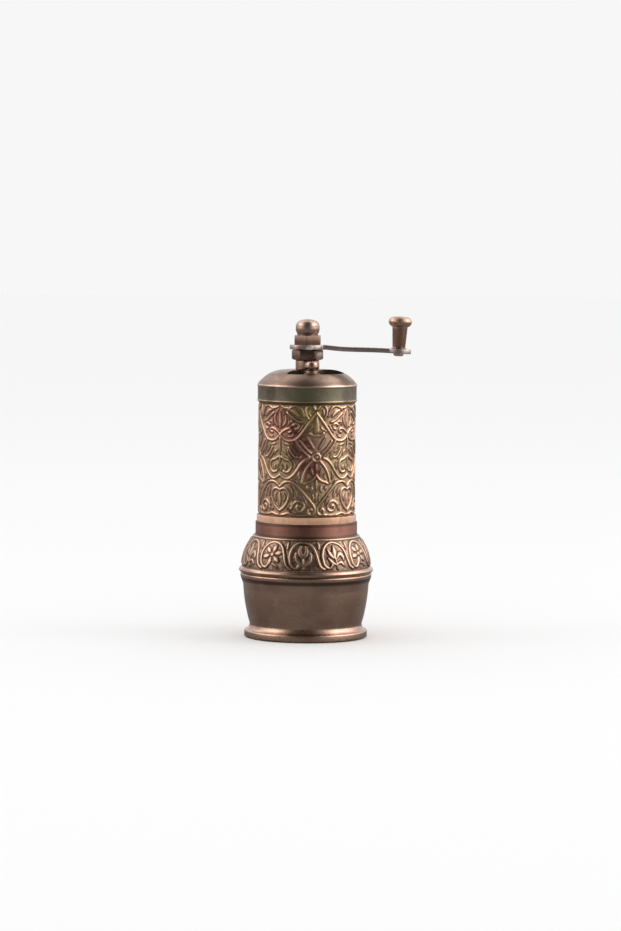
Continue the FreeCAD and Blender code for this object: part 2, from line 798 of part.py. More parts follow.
def bored_nut(label, flats, height, foot, bore):
    """Hexagon nut."""
    return cut(label, hexagon(label, flats, height, foot), cylinder(f"{label}_bore", bore, height, foot))


def thrust_ball():
    """Ball between the axle's end and the adjuster."""
    return primitive("Sphere", "thrust_ball", BALL_MIDDLE, Radius=of("ball_radius"))


def crank_arm():
    """Flat bar with a round boss and an eye, bent down outside the boss."""
    end = add(of("arm_reach"), of("arm_eye_radius"))
    end_drop = f"(({end} - {of('arm_bend')}) * tan({of('arm_slope')} * 1 deg))"
    rear = f"(0 - {of('arm_hub_radius')})"
    side = padded("arm_side", "XZ_Plane", [
        (rear, ARM_FOOT),
        (of("arm_bend"), ARM_FOOT),
        (end, less(ARM_FOOT, end_drop)),
        (end, less(ARM_TOP, end_drop)),
        (of("arm_bend"), ARM_TOP),
        (rear, ARM_TOP),
    ], f"({of('arm_hub_radius')} * 2)", midplane=True)
    foot = less(ARM_FOOT, end_drop)
    height = add(of("arm_thick"), end_drop)
    bar = padded("arm_bar", "XY_Plane", [
        ("0", f"(0 - {of('arm_half_width')})"),
        (of("arm_reach"), f"(0 - {of('arm_tip_half_width')})"),
        (of("arm_reach"), of("arm_tip_half_width")),
        ("0", of("arm_half_width")),
    ], height, foot)
    hub = cylinder("arm_hub", of("arm_hub_radius"), height, foot)
    eye = cylinder("arm_eye", of("arm_eye_radius"), height, foot, of("arm_reach"))
    square = add(of("axle_square"), of("press_fit"))
    rivet_hole = cylinder("arm_rivet_hole", add(of("rivet_radius"), of("press_fit")),
                          f"({of('arm_thick')} * 3)", "0")
    lean(rivet_hole, f"(0 - {of('arm_thick')} * 2)")
    return cut(
        "crank_arm", common("arm_blank", joined("arm_plan", hub, bar, eye), side),
        block("arm_square", square, square, of("arm_thick"), ARM_FOOT), rivet_hole)


def cap_nut():
    """Acorn nut: a hexagon with a flattened ball on a waist, bored from below for the stud."""
    hexagon_base = hexagon("cap", of("cap_flats"), of("cap_hex_height"), ARM_TOP)
    turn_about(hexagon_base, FreeCAD.Vector(0, 0, 1), of("cap_turn"))
    waist_height = add(CAP_TOP, of("cap_neck"))
    middle = add(CAP_TOP, of("cap_ball_middle"))
    shoulder = add(middle, f"{of('cap_ball_top')} * {CROWN_FOOT}")
    crown_radius = f"({of('cap_ball_radius')} * {CROWN_REACH})"
    crown_height = f"({of('cap_ball_top')} * {1 - CROWN_FOOT})"
    finial = turned("cap_finial", [
        ("0", ARM_TOP),
        (of("cap_waist"), ARM_TOP),
        (of("cap_waist"), waist_height, SLIGHT),
        (of("cap_ball_radius"), middle, FULL),
        (crown_radius, shoulder, crown(crown_radius, crown_height)),
        ("0", add(middle, of("cap_ball_top"))),
    ])
    bore = cylinder("cap_bore", add(of("axle_stud"), of("press_fit")), of("cap_bore_depth"), ARM_TOP)
    return cut("cap_nut", joined("cap_blank", hexagon_base, finial), bore)


def knob_washer():
    """Thin washer between the arm and the knob."""
    bore = add(of("rivet_radius"), of("press_fit"))
    return lean(turned("knob_washer", [
        (bore, "0"),
        (of("washer_radius"), "0"),
        (of("washer_radius"), of("washer_thick")),
        (bore, of("washer_thick")),
    ]))


def knob():
    """Turned knob: a stem that widens upwards under a mushroom cap, bored for its rivet."""
    cap_foot = less(KNOB_TOP, of("knob_cap_height"))
    recess = add(of("rivet_head_radius"), of("slide_fit"))
    recess_foot = less(KNOB_TOP, of("rivet_head_height"))
    return lean(turned("knob", [
        (RIVET_BORE, KNOB_FOOT),
        (of("knob_base_radius"), KNOB_FOOT, -FAINT),
        (of("knob_neck_radius"), cap_foot, FAINT),
        (of("knob_cap_radius"), add(cap_foot, of("knob_lip")), QUARTER),
        (recess, KNOB_TOP),
        (recess, recess_foot),
        (RIVET_BORE, recess_foot),
    ]))


def knob_rivet():
    """Pin through the arm and the knob, peened under the arm and headed in the knob's top."""
    tail_top = f"(0 - {of('arm_thick')})"
    tail_foot = less(tail_top, of("rivet_tail_height"))
    head_foot = add(less(KNOB_TOP, of("rivet_head_height")), of("knob_float"))
    return lean(turned("knob_rivet", [
        ("0", tail_foot),
        (of("rivet_radius"), tail_foot, QUARTER),
        (of("rivet_tail_radius"), less(tail_top, of("rivet_tail_edge"))),
        (of("rivet_tail_radius"), tail_top),
        (of("rivet_radius"), tail_top),
        (of("rivet_radius"), head_foot),
        (of("rivet_head_radius"), head_foot),
        (of("rivet_head_radius"), KNOB_TOP, crown(of("rivet_head_radius"), of("rivet_head_crown"))),
        ("0", add(KNOB_TOP, of("rivet_head_crown"))),
    ]))


cover = lid()
pieces = [
    base_cup(),
    barrel(),
    cover,
    lid_knob(cover),
    hopper_plate(),
    axle_bush(),
    axle(),
    inner_burr(),
    ring_burr(),
    burr_clip(),
    lower_bridge(),
    bridge_screws(),
    adjust_screw(),
    bored_nut("lock_nut", of("lock_nut_flats"), of("lock_nut_height"),
              less(BOSS_FOOT, of("lock_nut_height")), THREAD_BORE),
    thrust_ball(),
    bored_nut("arm_nut", of("arm_nut_flats"), of("arm_nut_height"), NUT_FOOT, SHAFT_BORE),
    crank_arm(),
    cap_nut(),
    knob_washer(),
    knob(),
    knob_rivet(),
]
doc.recompute()

failed = [item.Label for item in doc.Objects if {"Invalid", "Error"} & set(item.State)]
failed += [piece.Label for piece in pieces if piece.Shape.isNull() or not piece.Shape.isValid()]
if failed:
    raise RuntimeError("failed: " + ", ".join(failed))

os.makedirs("parts", exist_ok=True)
for piece in pieces:
    piece.Shape.exportStep(f"parts/{piece.Label}.step")
    print(piece.Label, len(piece.Shape.Solids), round(piece.Shape.Volume, 1))
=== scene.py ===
"""Looks of a small hand coffee mill in aged brass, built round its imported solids."""
import math

import bmesh
import bpy
from mathutils import Matrix, Vector


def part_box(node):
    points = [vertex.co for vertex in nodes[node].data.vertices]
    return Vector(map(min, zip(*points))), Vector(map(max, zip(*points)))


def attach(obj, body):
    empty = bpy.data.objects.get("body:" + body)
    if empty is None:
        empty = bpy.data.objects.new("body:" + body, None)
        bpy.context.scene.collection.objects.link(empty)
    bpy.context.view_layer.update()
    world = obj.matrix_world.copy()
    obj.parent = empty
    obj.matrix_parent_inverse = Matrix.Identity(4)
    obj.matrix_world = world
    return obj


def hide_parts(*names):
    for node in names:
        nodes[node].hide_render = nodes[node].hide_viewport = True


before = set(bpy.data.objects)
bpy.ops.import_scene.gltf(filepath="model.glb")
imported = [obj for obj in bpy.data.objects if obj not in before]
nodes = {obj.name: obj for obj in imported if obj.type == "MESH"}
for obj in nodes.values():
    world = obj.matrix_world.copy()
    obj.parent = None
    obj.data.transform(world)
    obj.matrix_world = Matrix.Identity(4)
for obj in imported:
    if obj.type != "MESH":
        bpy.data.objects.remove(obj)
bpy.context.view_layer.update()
scene = bpy.context.scene

# Sizes and places are in millimetres, and MM turns them into metres
MM = 0.001


def foot(node):
    """Height of a solid's foot."""
    return round(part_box(node)[0].z / MM, 3)


def top(node):
    """Height of a solid's top."""
    return round(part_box(node)[1].z / MM, 3)


def lifted(outline, height):
    """Outline moved up."""
    return [(point[0], point[1] + height) + point[2:] for point in outline]


# Rise of an arc over its chord: a quarter and a sixth of a circle, then gentler curves
QUARTER = math.tan(math.pi / 8) / 2
SIXTH = math.tan(math.pi / 12) / 2
FULL = 0.16
SLIGHT = 0.09
FAINT = 0.03
DOME = 0.128
BALL_CROWN = 0.055
FINIAL_CROWN = 0.052

# Outlines of the turned pieces: radius, height over the solid's foot and the rise of an arc that follows.
# A field is the stretch that is chased, counted from the outline's first point.
CUP = [
    (0, 0), (20.2, 0), (20.7, 0.5), (20.7, 2.1, QUARTER), (20.2, 2.6, -FULL), (18.9, 4.6, FAINT),
    (21.15, 18.0), (22.05, 20.4), (22.05, 21.0, QUARTER), (21.7, 21.75, SIXTH), (22.6, 22.8, SIXTH),
    (21.65, 23.9, SLIGHT),
    (17.4, 34.6), (17.4, 34.75), (17.1, 34.75), (17.1, 39.0), (15.45, 39.0), (15.45, 31.25, -SLIGHT),
    (20.05, 23.9), (20.05, 21.3), (19.35, 18.0), (17.1, 5.3, QUARTER), (14.4, 2.6), (0, 2.6),
]
CUP_FIELD = 11
BARREL = lifted([
    (13.67, 0), (15.37, 0), (15.37, 6.0), (16.7, 6.0), (16.7, 8.3), (16.0, 8.55),
    (16.0, 45.9), (16.4, 46.05), (16.4, 46.5), (15.55, 46.5), (15.55, 50.5), (14.07, 50.5),
    (14.07, 48.9), (13.17, 48.9), (13.17, 12.0), (13.67, 12.0), (13.67, 0),
], foot("barrel"))
BARREL_FIELD = 5
LID_RISE = 10.4
LID = lifted([
    (15.63, 0), (16.8, 0), (16.8, 0.35), (16.6, 0.5), (16.6, 4.85), (16.78, 5.0), (16.8, 5.35),
    (16.55, 5.75, DOME), (7.0, LID_RISE), (3.38, LID_RISE), (3.38, 9.0), (7.0, 9.0, -DOME),
    (15.63, 4.45), (15.63, 0),
], foot("lid"))
BUSH = lifted([
    (2.55, 0), (3.3, 0), (3.3, 8.13), (4.0, 8.13), (4.0, 11.21), (2.55, 11.21), (2.55, 0),
], foot("axle_bush"))
FINIAL = lifted([
    (0, 0), (3.45, 0), (3.45, 3.6, SLIGHT), (4.0, 6.0, FULL), (2.72, 8.07, FINIAL_CROWN), (0, 8.65),
], foot("cap_nut"))

# Outlines over the lid's crown, and over the arm's eye along the knob's own axis
LID_BALL = [
    (0, -2.7), (0.9, -2.7), (0.9, -1.2), (2.15, -1.2), (2.15, 0.0, -SLIGHT), (1.6, 0.25, FULL),
    (2.25, 1.75, FULL), (1.53, 3.0, BALL_CROWN), (0, 3.35),
]
KNOB = [
    (1.23, 0.47), (2.15, 0.47), (2.58, 7.4, FULL), (3.92, 9.2, QUARTER), (1.98, 10.75), (1.98, 10.05),
    (1.23, 10.05), (1.23, 0.47),
]
RIVET = [
    (0, -2.4), (1.15, -2.4, QUARTER), (1.7, -1.8), (1.7, -1.5), (1.15, -1.5), (1.15, 10.17),
    (1.9, 10.17), (1.9, 10.75, FAINT), (0, 10.98),
]

# How outlines are drawn: the rounding of edges, the least corner that gets one, the share of a side
# that it may take, and the points along an arc
EDGE = 0.15
CORNER_LEAST = math.radians(20)
CORNER_SHARE = 0.4
ARC_STEPS = 14
ON_AXIS = 1e-6

# Nuts: width across the flats, foot, top, turn in degrees and how far the corners are turned off
ARM_NUT = {"flats": 9.15, "low": foot("arm_nut"), "high": top("arm_nut"), "turn": 0, "share": 0.6}
CAP_NUT = {"flats": 8.5, "low": foot("cap_nut"), "high": foot("cap_nut") + 3.25, "turn": 26, "share": 0.25}
NUT_FACE = 0.98
NUT_SPARE = 0.02
NUT_EDGE = 0.12

# Crank arm: its plan, its bend outside the hub, and its sweep, which is lowest nearer to the hub
HUB_RADIUS = 6.0
HUB_HALF_WIDTH = 3.1
EYE_RADIUS = 4.1
EYE_HALF_WIDTH = 2.65
ARM_REACH = round(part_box("crank_arm")[1].x / MM, 3) - EYE_RADIUS
ARM_FOOT = top("arm_nut")
ARM_TOP = foot("cap_nut")
ARM_BEND = 6.2
ARM_EASE = 1.2
ARM_SLOPE = math.radians(2.75)
ARM_SWEEP = 0.27
SWEEP_LEAN = 0.6
SWEEP_CUTS = 12
ARM_EDGE = 0.3

# Feed windows of the lid: first and last bearing in degrees, radii and corners, and the heights of the cut
WINDOWS = ((-70, 8), (-124.5, -95))
WINDOW_INNER = 4.9
WINDOW_OUTER = 12.4
WINDOW_CORNER = 0.7
WINDOW_STEP = 0.5
CORNER_STEPS = 6
CUT_FOOT = foot("lid") + 3.4
CUT_TOP = foot("lid") + 12.4

# Where a finish ends: the low band's top, the spigot's and the bores' radii, and how far a lining looks up
LOW_BAND_TOP = foot("barrel") + 8.45
SPIGOT_RADIUS = 15.6
BARREL_BORE = 14.2
LID_BORE = 15.7
LINING_LEAN = 0.3

# Chased walls: columns round them, rows up their fields and the rows over which the relief fades in
BARREL_COLUMNS = 440
BARREL_ROWS = 150
BARREL_FADE = 3
CUP_COLUMNS = 480
CUP_ROWS = 70
CUP_FADE = 2
WALL_ARC_STEPS = 7
STRAND_STEP = 0.2
LEAF_STEP = 0.1
RIDGE_ROUND = 0.75
SPARE_REPEATS = 3
SEAM = 0.002

# Scrollwork of the barrel: half a repeat, from the lozenge's axis to the medallion's, across and up
BARREL_REPEATS = 4
BARREL_RADIUS = 16.0
BARREL_CELL = 2 * math.pi * BARREL_RADIUS / BARREL_REPEATS
BARREL_TURN = math.radians(11.5)
BARREL_STRETCH = 1.019
HALF = BARREL_CELL / 2
BARREL_STRANDS = [
    [(0, 34.0), (2.3, 31.0), (4.8, 27.6), (6.4, 25.7), (8.4, 24.9),
     (10.4, 25.1), (11.7, 26.0), (HALF, 27.0)],
    [(HALF, 27.0), (11.4, 28.0), (10.0, 28.7), (8.8, 28.8), (8.5, 28.0), (9.3, 27.6)],
    [(6.9, 24.9), (5.6, 23.0), (4.2, 21.4), (2.4, 19.7)],
    [(5.4, 24.9), (4.3, 23.4), (3.1, 22.0), (1.8, 20.9)],
    [(2.4, 19.3), (3.6, 18.8), (5.2, 17.3), (6.8, 14.9), (8.2, 13.3),
     (9.9, 12.5), (11.5, 13.0), (HALF, 13.8)],
    [(1.4, 18.2), (2.6, 16.8), (3.7, 15.0), (4.4, 13.1), (4.8, 11.2)],
    [(0, 20.8), (0.9, 20.4), (1.3, 19.5), (0.9, 18.6), (0, 18.2)],
    [(0, 13.8), (0.9, 12.5), (2.1, 11.7), (3.2, 11.4), (4.0, 10.9)],
    [(HALF, 9.8), (11.4, 10.9), (9.9, 11.5), (8.4, 11.4), (7.0, 10.8), (5.5, 9.3),
     (3.2, 6.7), (1.2, 4.2), (0.5, 3.0), (0.45, 1.9), (0.9, 1.0), (1.7, 0.7),
     (2.5, 1.2), (2.6, 2.1), (2.0, 2.7), (1.4, 2.3)],
    [(HALF, 8.8), (11.2, 9.3), (9.8, 8.8), (9.2, 7.3), (9.7, 5.2), (11.0, 3.2), (HALF, 2.0)],
    [(8.4, 2.6), (7.6, 4.3), (6.1, 5.2), (4.6, 4.8), (3.9, 3.5), (4.5, 2.2),
     (5.8, 2.0), (6.5, 2.9), (6.0, 3.8), (5.3, 3.5)],
    [(2.9, 0.8), (4.4, 0.5), (6.2, 0.5), (8.0, 0.8), (9.5, 1.2), (11.0, 0.8), (HALF, 0.5)],
    [(0.5, 35.1), (1.3, 36.4), (2.4, 36.5), (3.3, 35.6), (3.5, 33.8), (2.7, 32.0)],
    [(9.6, 35.0), (8.0, 36.1), (6.2, 36.1), (4.9, 35.0), (4.1, 32.9)],
    [(9.8, 33.9), (8.2, 32.7), (6.6, 31.5), (5.1, 31.0)],
    [(12.1, 36.3), (10.9, 35.6), (9.6, 35.6)],
    [(7.9, 29.9), (6.9, 30.5), (6.0, 30.0), (6.1, 29.0), (6.9, 28.7)],
    [(9.3, 22.6), (8.2, 20.8), (7.0, 19.6), (6.1, 19.6)],
    [(HALF, 25.8), (HALF, 22.4)],
    [(11.9, 19.6), (10.6, 18.8), (9.2, 18.4), (8.4, 17.2), (8.7, 15.6), (9.8, 14.6), (11.2, 14.9)],
    [(0, 26.6), (1.3, 26.7), (2.4, 27.4)],
]
# Leaves, drops and veins of the barrel: across, up and half width
BARREL_LEAVES = [
    [(0, 32.6, 0.3), (0, 31.0, 0.8), (0, 29.2, 1.3), (0, 28.2, 1.1)],
    [(3.2, 26.2, 0.3), (2.2, 24.6, 0.5), (0.9, 22.4, 0.3)],
    [(1.4, 29.6, 0.2), (2.2, 28.6, 0.3), (3.4, 28.0, 0.2)],
    [(HALF, 23.4, 0.3), (HALF, 22.4, 0.7), (HALF, 21.3, 0.35)],
    [(10.5, 16.9, 0.3), (10.3, 16.2, 0.6), (10.6, 15.5, 0.35)],
    [(11.4, 21.9, 0.25), (10.6, 21.3, 0.5), (10.2, 20.4, 0.25)],
    [(HALF, 20.4, 0.25), (HALF, 19.0, 0.5), (HALF, 17.6, 0.25)],
    [(12.0, 17.2, 0.2), (11.7, 16.2, 0.35), (12.1, 15.2, 0.2)],
    [(8.6, 23.4, 0.2), (9.8, 23.7, 0.45), (11.0, 24.0, 0.2)],
    [(9.7, 21.4, 0.2), (9.0, 20.0, 0.4), (7.9, 19.0, 0.2)],
    [(7.5, 18.2, 0.2), (7.1, 17.0, 0.4), (7.4, 15.9, 0.2)],
    [(8.2, 22.9, 0.2), (7.2, 21.7, 0.35), (6.4, 21.2, 0.2)],
    [(5.6, 20.9, 0.2), (5.0, 19.9, 0.35), (5.6, 18.9, 0.2)],
    [(6.6, 23.2, 0.2), (5.6, 21.9, 0.3), (4.8, 21.1, 0.2)],
    [(HALF, 29.0, 0.4), (HALF, 31.0, 0.9), (HALF, 33.0, 0.55), (HALF, 34.4, 0.25)],
    [(11.6, 29.4, 0.25), (10.7, 30.6, 0.5), (10.3, 32.0, 0.55), (10.7, 33.6, 0.3)],
    [(9.6, 29.9, 0.2), (9.2, 31.0, 0.4), (9.6, 32.2, 0.2)],
    [(8.6, 34.8, 0.4), (7.2, 34.2, 0.9), (5.7, 33.0, 0.5)],
    [(7.4, 30.6, 0.25), (8.3, 31.2, 0.45), (9.0, 30.9, 0.25)],
    [(11.9, 35.2, 0.2), (11.2, 34.2, 0.35), (11.3, 33.2, 0.2)],
    [(2.2, 34.9, 0.25), (2.5, 33.8, 0.45), (1.9, 32.9, 0.2)],
    [(4.4, 30.0, 0.2), (5.1, 28.9, 0.4), (6.0, 27.6, 0.2)],
    [(7.6, 27.2, 0.2), (8.1, 26.4, 0.35), (9.4, 26.2, 0.2)],
    [(HALF, 7.8, 0.25), (HALF, 6.0, 0.9), (HALF, 3.8, 0.4)],
    [(11.2, 7.8, 0.25), (10.6, 6.6, 0.5), (11.0, 5.2, 0.25)],
    [(3.2, 10.2, 0.2), (3.1, 9.6, 0.45), (3.3, 9.0, 0.2)],
    [(1.6, 10.0, 0.25), (1.5, 9.2, 0.5), (1.7, 8.4, 0.25)],
    [(0, 12.0, 0.25), (0, 10.6, 0.55), (0, 9.2, 0.25)],
    [(0, 8.0, 0.25), (0, 6.9, 0.45), (0, 5.2, 0.25)],
    [(1.2, 7.4, 0.2), (0.9, 6.2, 0.3), (1.0, 5.2, 0.2)],
    [(7.3, 9.6, 0.25), (6.5, 8.2, 0.45), (6.2, 6.6, 0.25)],
    [(8.7, 10.2, 0.2), (8.1, 8.6, 0.4), (7.9, 6.8, 0.2)],
    [(8.4, 6.0, 0.2), (8.0, 5.0, 0.4), (8.6, 3.8, 0.2)],
    [(4.6, 7.2, 0.2), (3.6, 5.6, 0.35), (3.2, 4.0, 0.2)],
    [(5.6, 12.6, 0.25), (5.9, 13.6, 0.4), (5.5, 14.8, 0.25)],
    [(6.0, 10.9, 0.2), (6.9, 12.0, 0.3), (8.1, 12.3, 0.2)],
    [(1.9, 15.6, 0.25), (1.4, 14.8, 0.45), (1.2, 13.8, 0.25)],
    [(3.0, 14.2, 0.2), (2.7, 13.4, 0.4), (3.1, 12.5, 0.2)],
    [(0, 17.2, 0.25), (0, 16.2, 0.5), (0, 15.0, 0.25)],
    [(9.9, 2.8, 0.2), (9.3, 2.2, 0.35), (8.9, 1.6, 0.2)],
    [(0.35, 19.5, 0.45), (-0.35, 19.5, 0.45)],
]

# Scrollwork of the cup: three medallions make one repeat, under a line along the field's upper edge
CUP_REPEATS = 4
CUP_RADIUS = 20.0
CUP_CELL = 2 * math.pi * CUP_RADIUS / CUP_REPEATS
CUP_TURN = math.radians(-47.6)
CUP_LINE = 11.35
MEDALLION = CUP_CELL / 3


def shifted(stroke, across):
    """Stroke moved sideways."""
    return [(point[0] + across,) + point[1:] for point in stroke]


def both_halves(strokes):
    """Strokes and their mirror images."""
    return strokes + [[(-point[0],) + point[1:] for point in stroke] for stroke in strokes]


def medallion(middle):
    """C-scroll round one medallion of the cup, and the leaf between it and the next."""
    scroll = [(-1.2, 2.2), (-2.0, 1.2), (-3.3, 1.7), (-4.2, 4.0), (-4.1, 6.6), (-3.0, 8.9), (-1.0, 10.1),
              (1.2, 9.9), (3.0, 8.6), (4.1, 6.2), (4.7, 3.6), (5.5, 1.6), (6.6, 0.8)]
    leaf = [(5.0, 10.3, 0.3), (5.2, 9.2, 0.6), (5.1, 7.6, 0.25)]
    return shifted(scroll, middle), shifted(leaf, middle)


def rosette(middle):
    """Six petals round a boss, with a leaf below."""
    up = 5.5
    petals = 6
    strokes = [[(middle, up, 0.85), (middle + 0.05, up, 0.85)]]
    for petal in range(petals):
        angle = math.radians(15) + 2 * math.pi * petal / petals
        strokes.append([(middle + reach * math.cos(angle), up + reach * math.sin(angle), width)
                        for reach, width in ((1.4, 0.5), (2.2, 1.05), (2.95, 0.75))])
    strokes.append(shifted([(2.2, 1.2, 0.25), (1.2, 2.1, 0.4), (0.3, 2.4, 0.3)], middle))
    return strokes


def lily(middle):
    """Sprig of a lily."""
    return [shifted(stroke, middle) for stroke in (
        [(0.7, 0.9, 0.3), (0.4, 3.0, 0.32), (-0.1, 4.8, 0.4), (-0.1, 6.7, 1.05), (-0.1, 8.7, 0.35)],
        [(-0.4, 4.4, 0.3), (-1.7, 5.9, 0.85), (-2.4, 7.6, 0.35)],
        [(0.5, 4.2, 0.3), (1.8, 5.9, 0.85), (2.8, 5.0, 0.65), (3.0, 3.7, 0.3)],
        [(0.5, 2.4, 0.3), (1.9, 3.0, 0.65), (3.0, 1.8, 0.3)],
        [(0.2, 2.2, 0.3), (-1.3, 3.2, 0.65), (-2.4, 4.6, 0.3)],
    )]


def tulip(middle):
    """Sprig of a tulip."""
    return [shifted(stroke, middle) for stroke in (
        [(0.2, 0.9, 0.3), (0.1, 3.0, 0.32), (0, 4.6, 0.35)],
        [(0, 4.6, 0.5), (-0.9, 6.0, 0.75), (-1.1, 7.6, 0.5), (-0.7, 8.8, 0.25)],
        [(0, 4.6, 0.5), (0.9, 6.0, 0.75), (1.1, 7.6, 0.5), (0.7, 8.8, 0.25)],
        [(0.2, 1.6, 0.3), (1.7, 3.0, 0.6), (2.4, 5.0, 0.5), (2.3, 6.4, 0.25)],
        [(0.2, 1.6, 0.3), (-1.4, 3.0, 0.6), (-2.3, 5.0, 0.5), (-2.4, 6.4, 0.25)],
    )]


# Outlines

def rise_of(corner):
    """Rise of the arc that starts at a point of an outline, or 0 for a straight line."""
    return corner[2] if len(corner) == 3 else 0


def arc_points(start, end, rise, steps):
    """Points of an arc, without its end; it stands out to the right of its chord by rise times that."""
    start, end = Vector(start[:2]), Vector(end[:2])
    if not rise:
        return [start]
    chord = end - start
    angle = 4 * math.atan(2 * rise)
    radius = chord.length / (2 * math.sin(angle / 2))
    side = Vector((chord.y, -chord.x)).normalized()
    centre = (start + end) / 2 - side * radius * math.cos(angle / 2)
    return [centre + Matrix.Rotation(angle * step / steps, 2) @ (start - centre) for step in range(steps)]


def softened(points, edge):
    """Line with its corners rounded, except on the axis and at its ends."""
    result = [points[0]]
    for before, corner, after in zip(points, points[1:], points[2:]):
        inward = before - corner
        outward = after - corner
        bend = math.pi - inward.angle(outward, math.pi)
        if bend < CORNER_LEAST or corner.x < ON_AXIS:
            result.append(corner)
            continue
        reach = min(edge, CORNER_SHARE * inward.length, CORNER_SHARE * outward.length)
        first = corner + inward.normalized() * reach
        last = corner + outward.normalized() * reach
        for share in (0, 0.25, 0.5, 0.75, 1):
            result.append(first * (1 - share) ** 2 + corner * 2 * share * (1 - share) + last * share ** 2)
    result.append(points[-1])
    return result


def smooth_outline(outline, edge=EDGE, steps=ARC_STEPS):
    """Points of a turned piece's outline, with its arcs drawn and its edges broken."""
    points = []
    for start, end in zip(outline, outline[1:]):
        points += arc_points(start, end, rise_of(start), steps)
    points.append(Vector(outline[-1][:2]))
    return softened(points, edge)


# Meshes

def placed(name, data):
    """New object in the scene."""
    piece = bpy.data.objects.new(name, data)
    scene.collection.objects.link(piece)
    return piece


def keep_mesh(name, mesh, sharp=35):
    """Object of a finished mesh, smooth but for its sharp edges, with its faces outwards."""
    shape = bmesh.new()
    shape.from_mesh(mesh)
    bmesh.ops.remove_doubles(shape, verts=shape.verts, dist=1e-7)
    bmesh.ops.dissolve_degenerate(shape, edges=shape.edges, dist=1e-8)
    bmesh.ops.recalc_face_normals(shape, faces=shape.faces)
    shape.to_mesh(mesh)
    shape.free()
    mesh.shade_smooth()
    mesh.set_sharp_from_angle(angle=math.radians(sharp))
    mesh.name = name
    return placed(name, mesh)


def turned_mesh(points, segments):
    """Mesh turned about the Z axis from the points of an outline."""
    shape = bmesh.new()
    rings = []
    for point in points:
        across = point.x * MM
        up = point.y * MM
        if point.x < ON_AXIS:
            rings.append([shape.verts.new((0, 0, up))] * segments)
            continue
        ring = []
        for segment in range(segments):
            angle = 2 * math.pi * segment / segments
            ring.append(shape.verts.new((across * math.cos(angle), across * math.sin(angle), up)))
        rings.append(ring)
    for low, high in zip(rings, rings[1:]):
        for segment in range(segments):
            following = (segment + 1) % segments
            corners = [low[segment], low[following], high[following], high[segment]]
            corners = list(dict.fromkeys(corners))
            if len(corners) > 2:
                shape.faces.new(corners)
    mesh = bpy.data.meshes.new("turned")
    shape.to_mesh(mesh)
    shape.free()
    return mesh


def upright_prism(plan, low, high):
    """Prism between two heights."""
    shape = bmesh.new()
    lower = [shape.verts.new((x * MM, y * MM, low * MM)) for x, y in plan]
    upper = [shape.verts.new((x * MM, y * MM, high * MM)) for x, y in plan]
    shape.faces.new(lower[::-1])
    shape.faces.new(upper)
    for index in range(len(plan)):
        following = (index + 1) % len(plan)
        shape.faces.new((lower[index], lower[following], upper[following], upper[index]))
    mesh = bpy.data.meshes.new("prism")
    shape.to_mesh(mesh)
    shape.free()
    return mesh


def applied(piece):
    """Plain mesh of a piece with its modifiers applied; the piece itself goes."""
    bpy.context.view_layer.update()
    mesh = bpy.data.meshes.new_from_object(piece.evaluated_get(bpy.context.evaluated_depsgraph_get()))
    bpy.data.objects.remove(piece)
    return mesh


def boolean(mesh, tools, operation):
    """Mesh cut or kept by the tools' meshes."""
    piece = placed("blank", mesh)
    cutters = [placed("tool", tool) for tool in tools]
    for cutter in cutters:
        step = piece.modifiers.new("cut", "BOOLEAN")
        step.operation = operation
        step.solver = "EXACT"
        step.object = cutter
    result = applied(piece)
    for cutter in cutters:
        bpy.data.objects.remove(cutter)
    return result


def bevelled(mesh, width, segments, limit):
    """Mesh with its edges rounded where they are sharper than a limit in degrees."""
    piece = placed("blank", mesh)
    step = piece.modifiers.new("edges", "BEVEL")
    step.width = width * MM
    step.segments = segments
    step.limit_method = "ANGLE"
    step.angle_limit = math.radians(limit)
    return applied(piece)


def plan_arc(radius, first, last, steps, across=0.0):
    """Points of an arc in plan, about a centre on the X axis."""
    angles = [first + (last - first) * step / steps for step in range(steps + 1)]
    return [(across + radius * math.cos(angle), radius * math.sin(angle)) for angle in angles]


def hexagon_mesh(flats, low, high, turn, share):
    """Six-sided nut with turned-off corners and broken edges."""
    corner = flats / math.sqrt(3)
    chamfer = (corner - flats / 2) * share
    bearings = [math.radians(60 * side + turn) for side in range(6)]
    plan = [(corner * math.cos(bearing), corner * math.sin(bearing)) for bearing in bearings]
    face = flats / 2 * NUT_FACE
    widest = corner + NUT_SPARE
    form = [(0, low), (face, low), (widest, low + chamfer),
            (widest, high - chamfer), (face, high), (0, high)]
    turned = turned_mesh([Vector(point) for point in form], segments=96)
    nut = boolean(upright_prism(plan, low, high), [turned], "INTERSECT")
    return bevelled(nut, NUT_EDGE, segments=2, limit=25)


def window_plan(start, end):
    """Plan of a feed window: four rounded corners, with the arcs between them drawn in short steps."""
    outer = WINDOW_OUTER - WINDOW_CORNER
    inner = WINDOW_INNER + WINDOW_CORNER
    corners = []
    for reach, bearing, side, first in ((outer, start, 1, -90), (outer, end, -1, 0),
                                        (inner, end, -1, 90), (inner, start, 1, 180)):
        swing = math.degrees(WINDOW_CORNER / reach)
        for step in range(CORNER_STEPS + 1):
            turn = math.radians(first + 90 * step / CORNER_STEPS)
            corners.append((reach + WINDOW_CORNER * math.cos(turn),
                            math.radians(bearing + side * swing + swing * math.sin(turn))))
    plan = []
    for (radius, bearing), (_, next_bearing) in zip(corners, corners[1:] + corners[:1]):
        sweep = next_bearing - bearing
        steps = max(1, int(2 * radius * math.sin(abs(sweep) / 2) / WINDOW_STEP))
        for step in range(steps):
            angle = bearing + sweep * step / steps
            plan.append((radius * math.cos(angle), radius * math.sin(angle)))
    return plan


def knob_place():
    """Leaning axis of the handle knob, from the top of the arm's eye."""
    up = ARM_TOP - (ARM_REACH - ARM_BEND) * math.tan(ARM_SLOPE)
    return Matrix.Translation((ARM_REACH * MM, 0, up * MM)) @ Matrix.Rotation(ARM_SLOPE, 4, "Y")


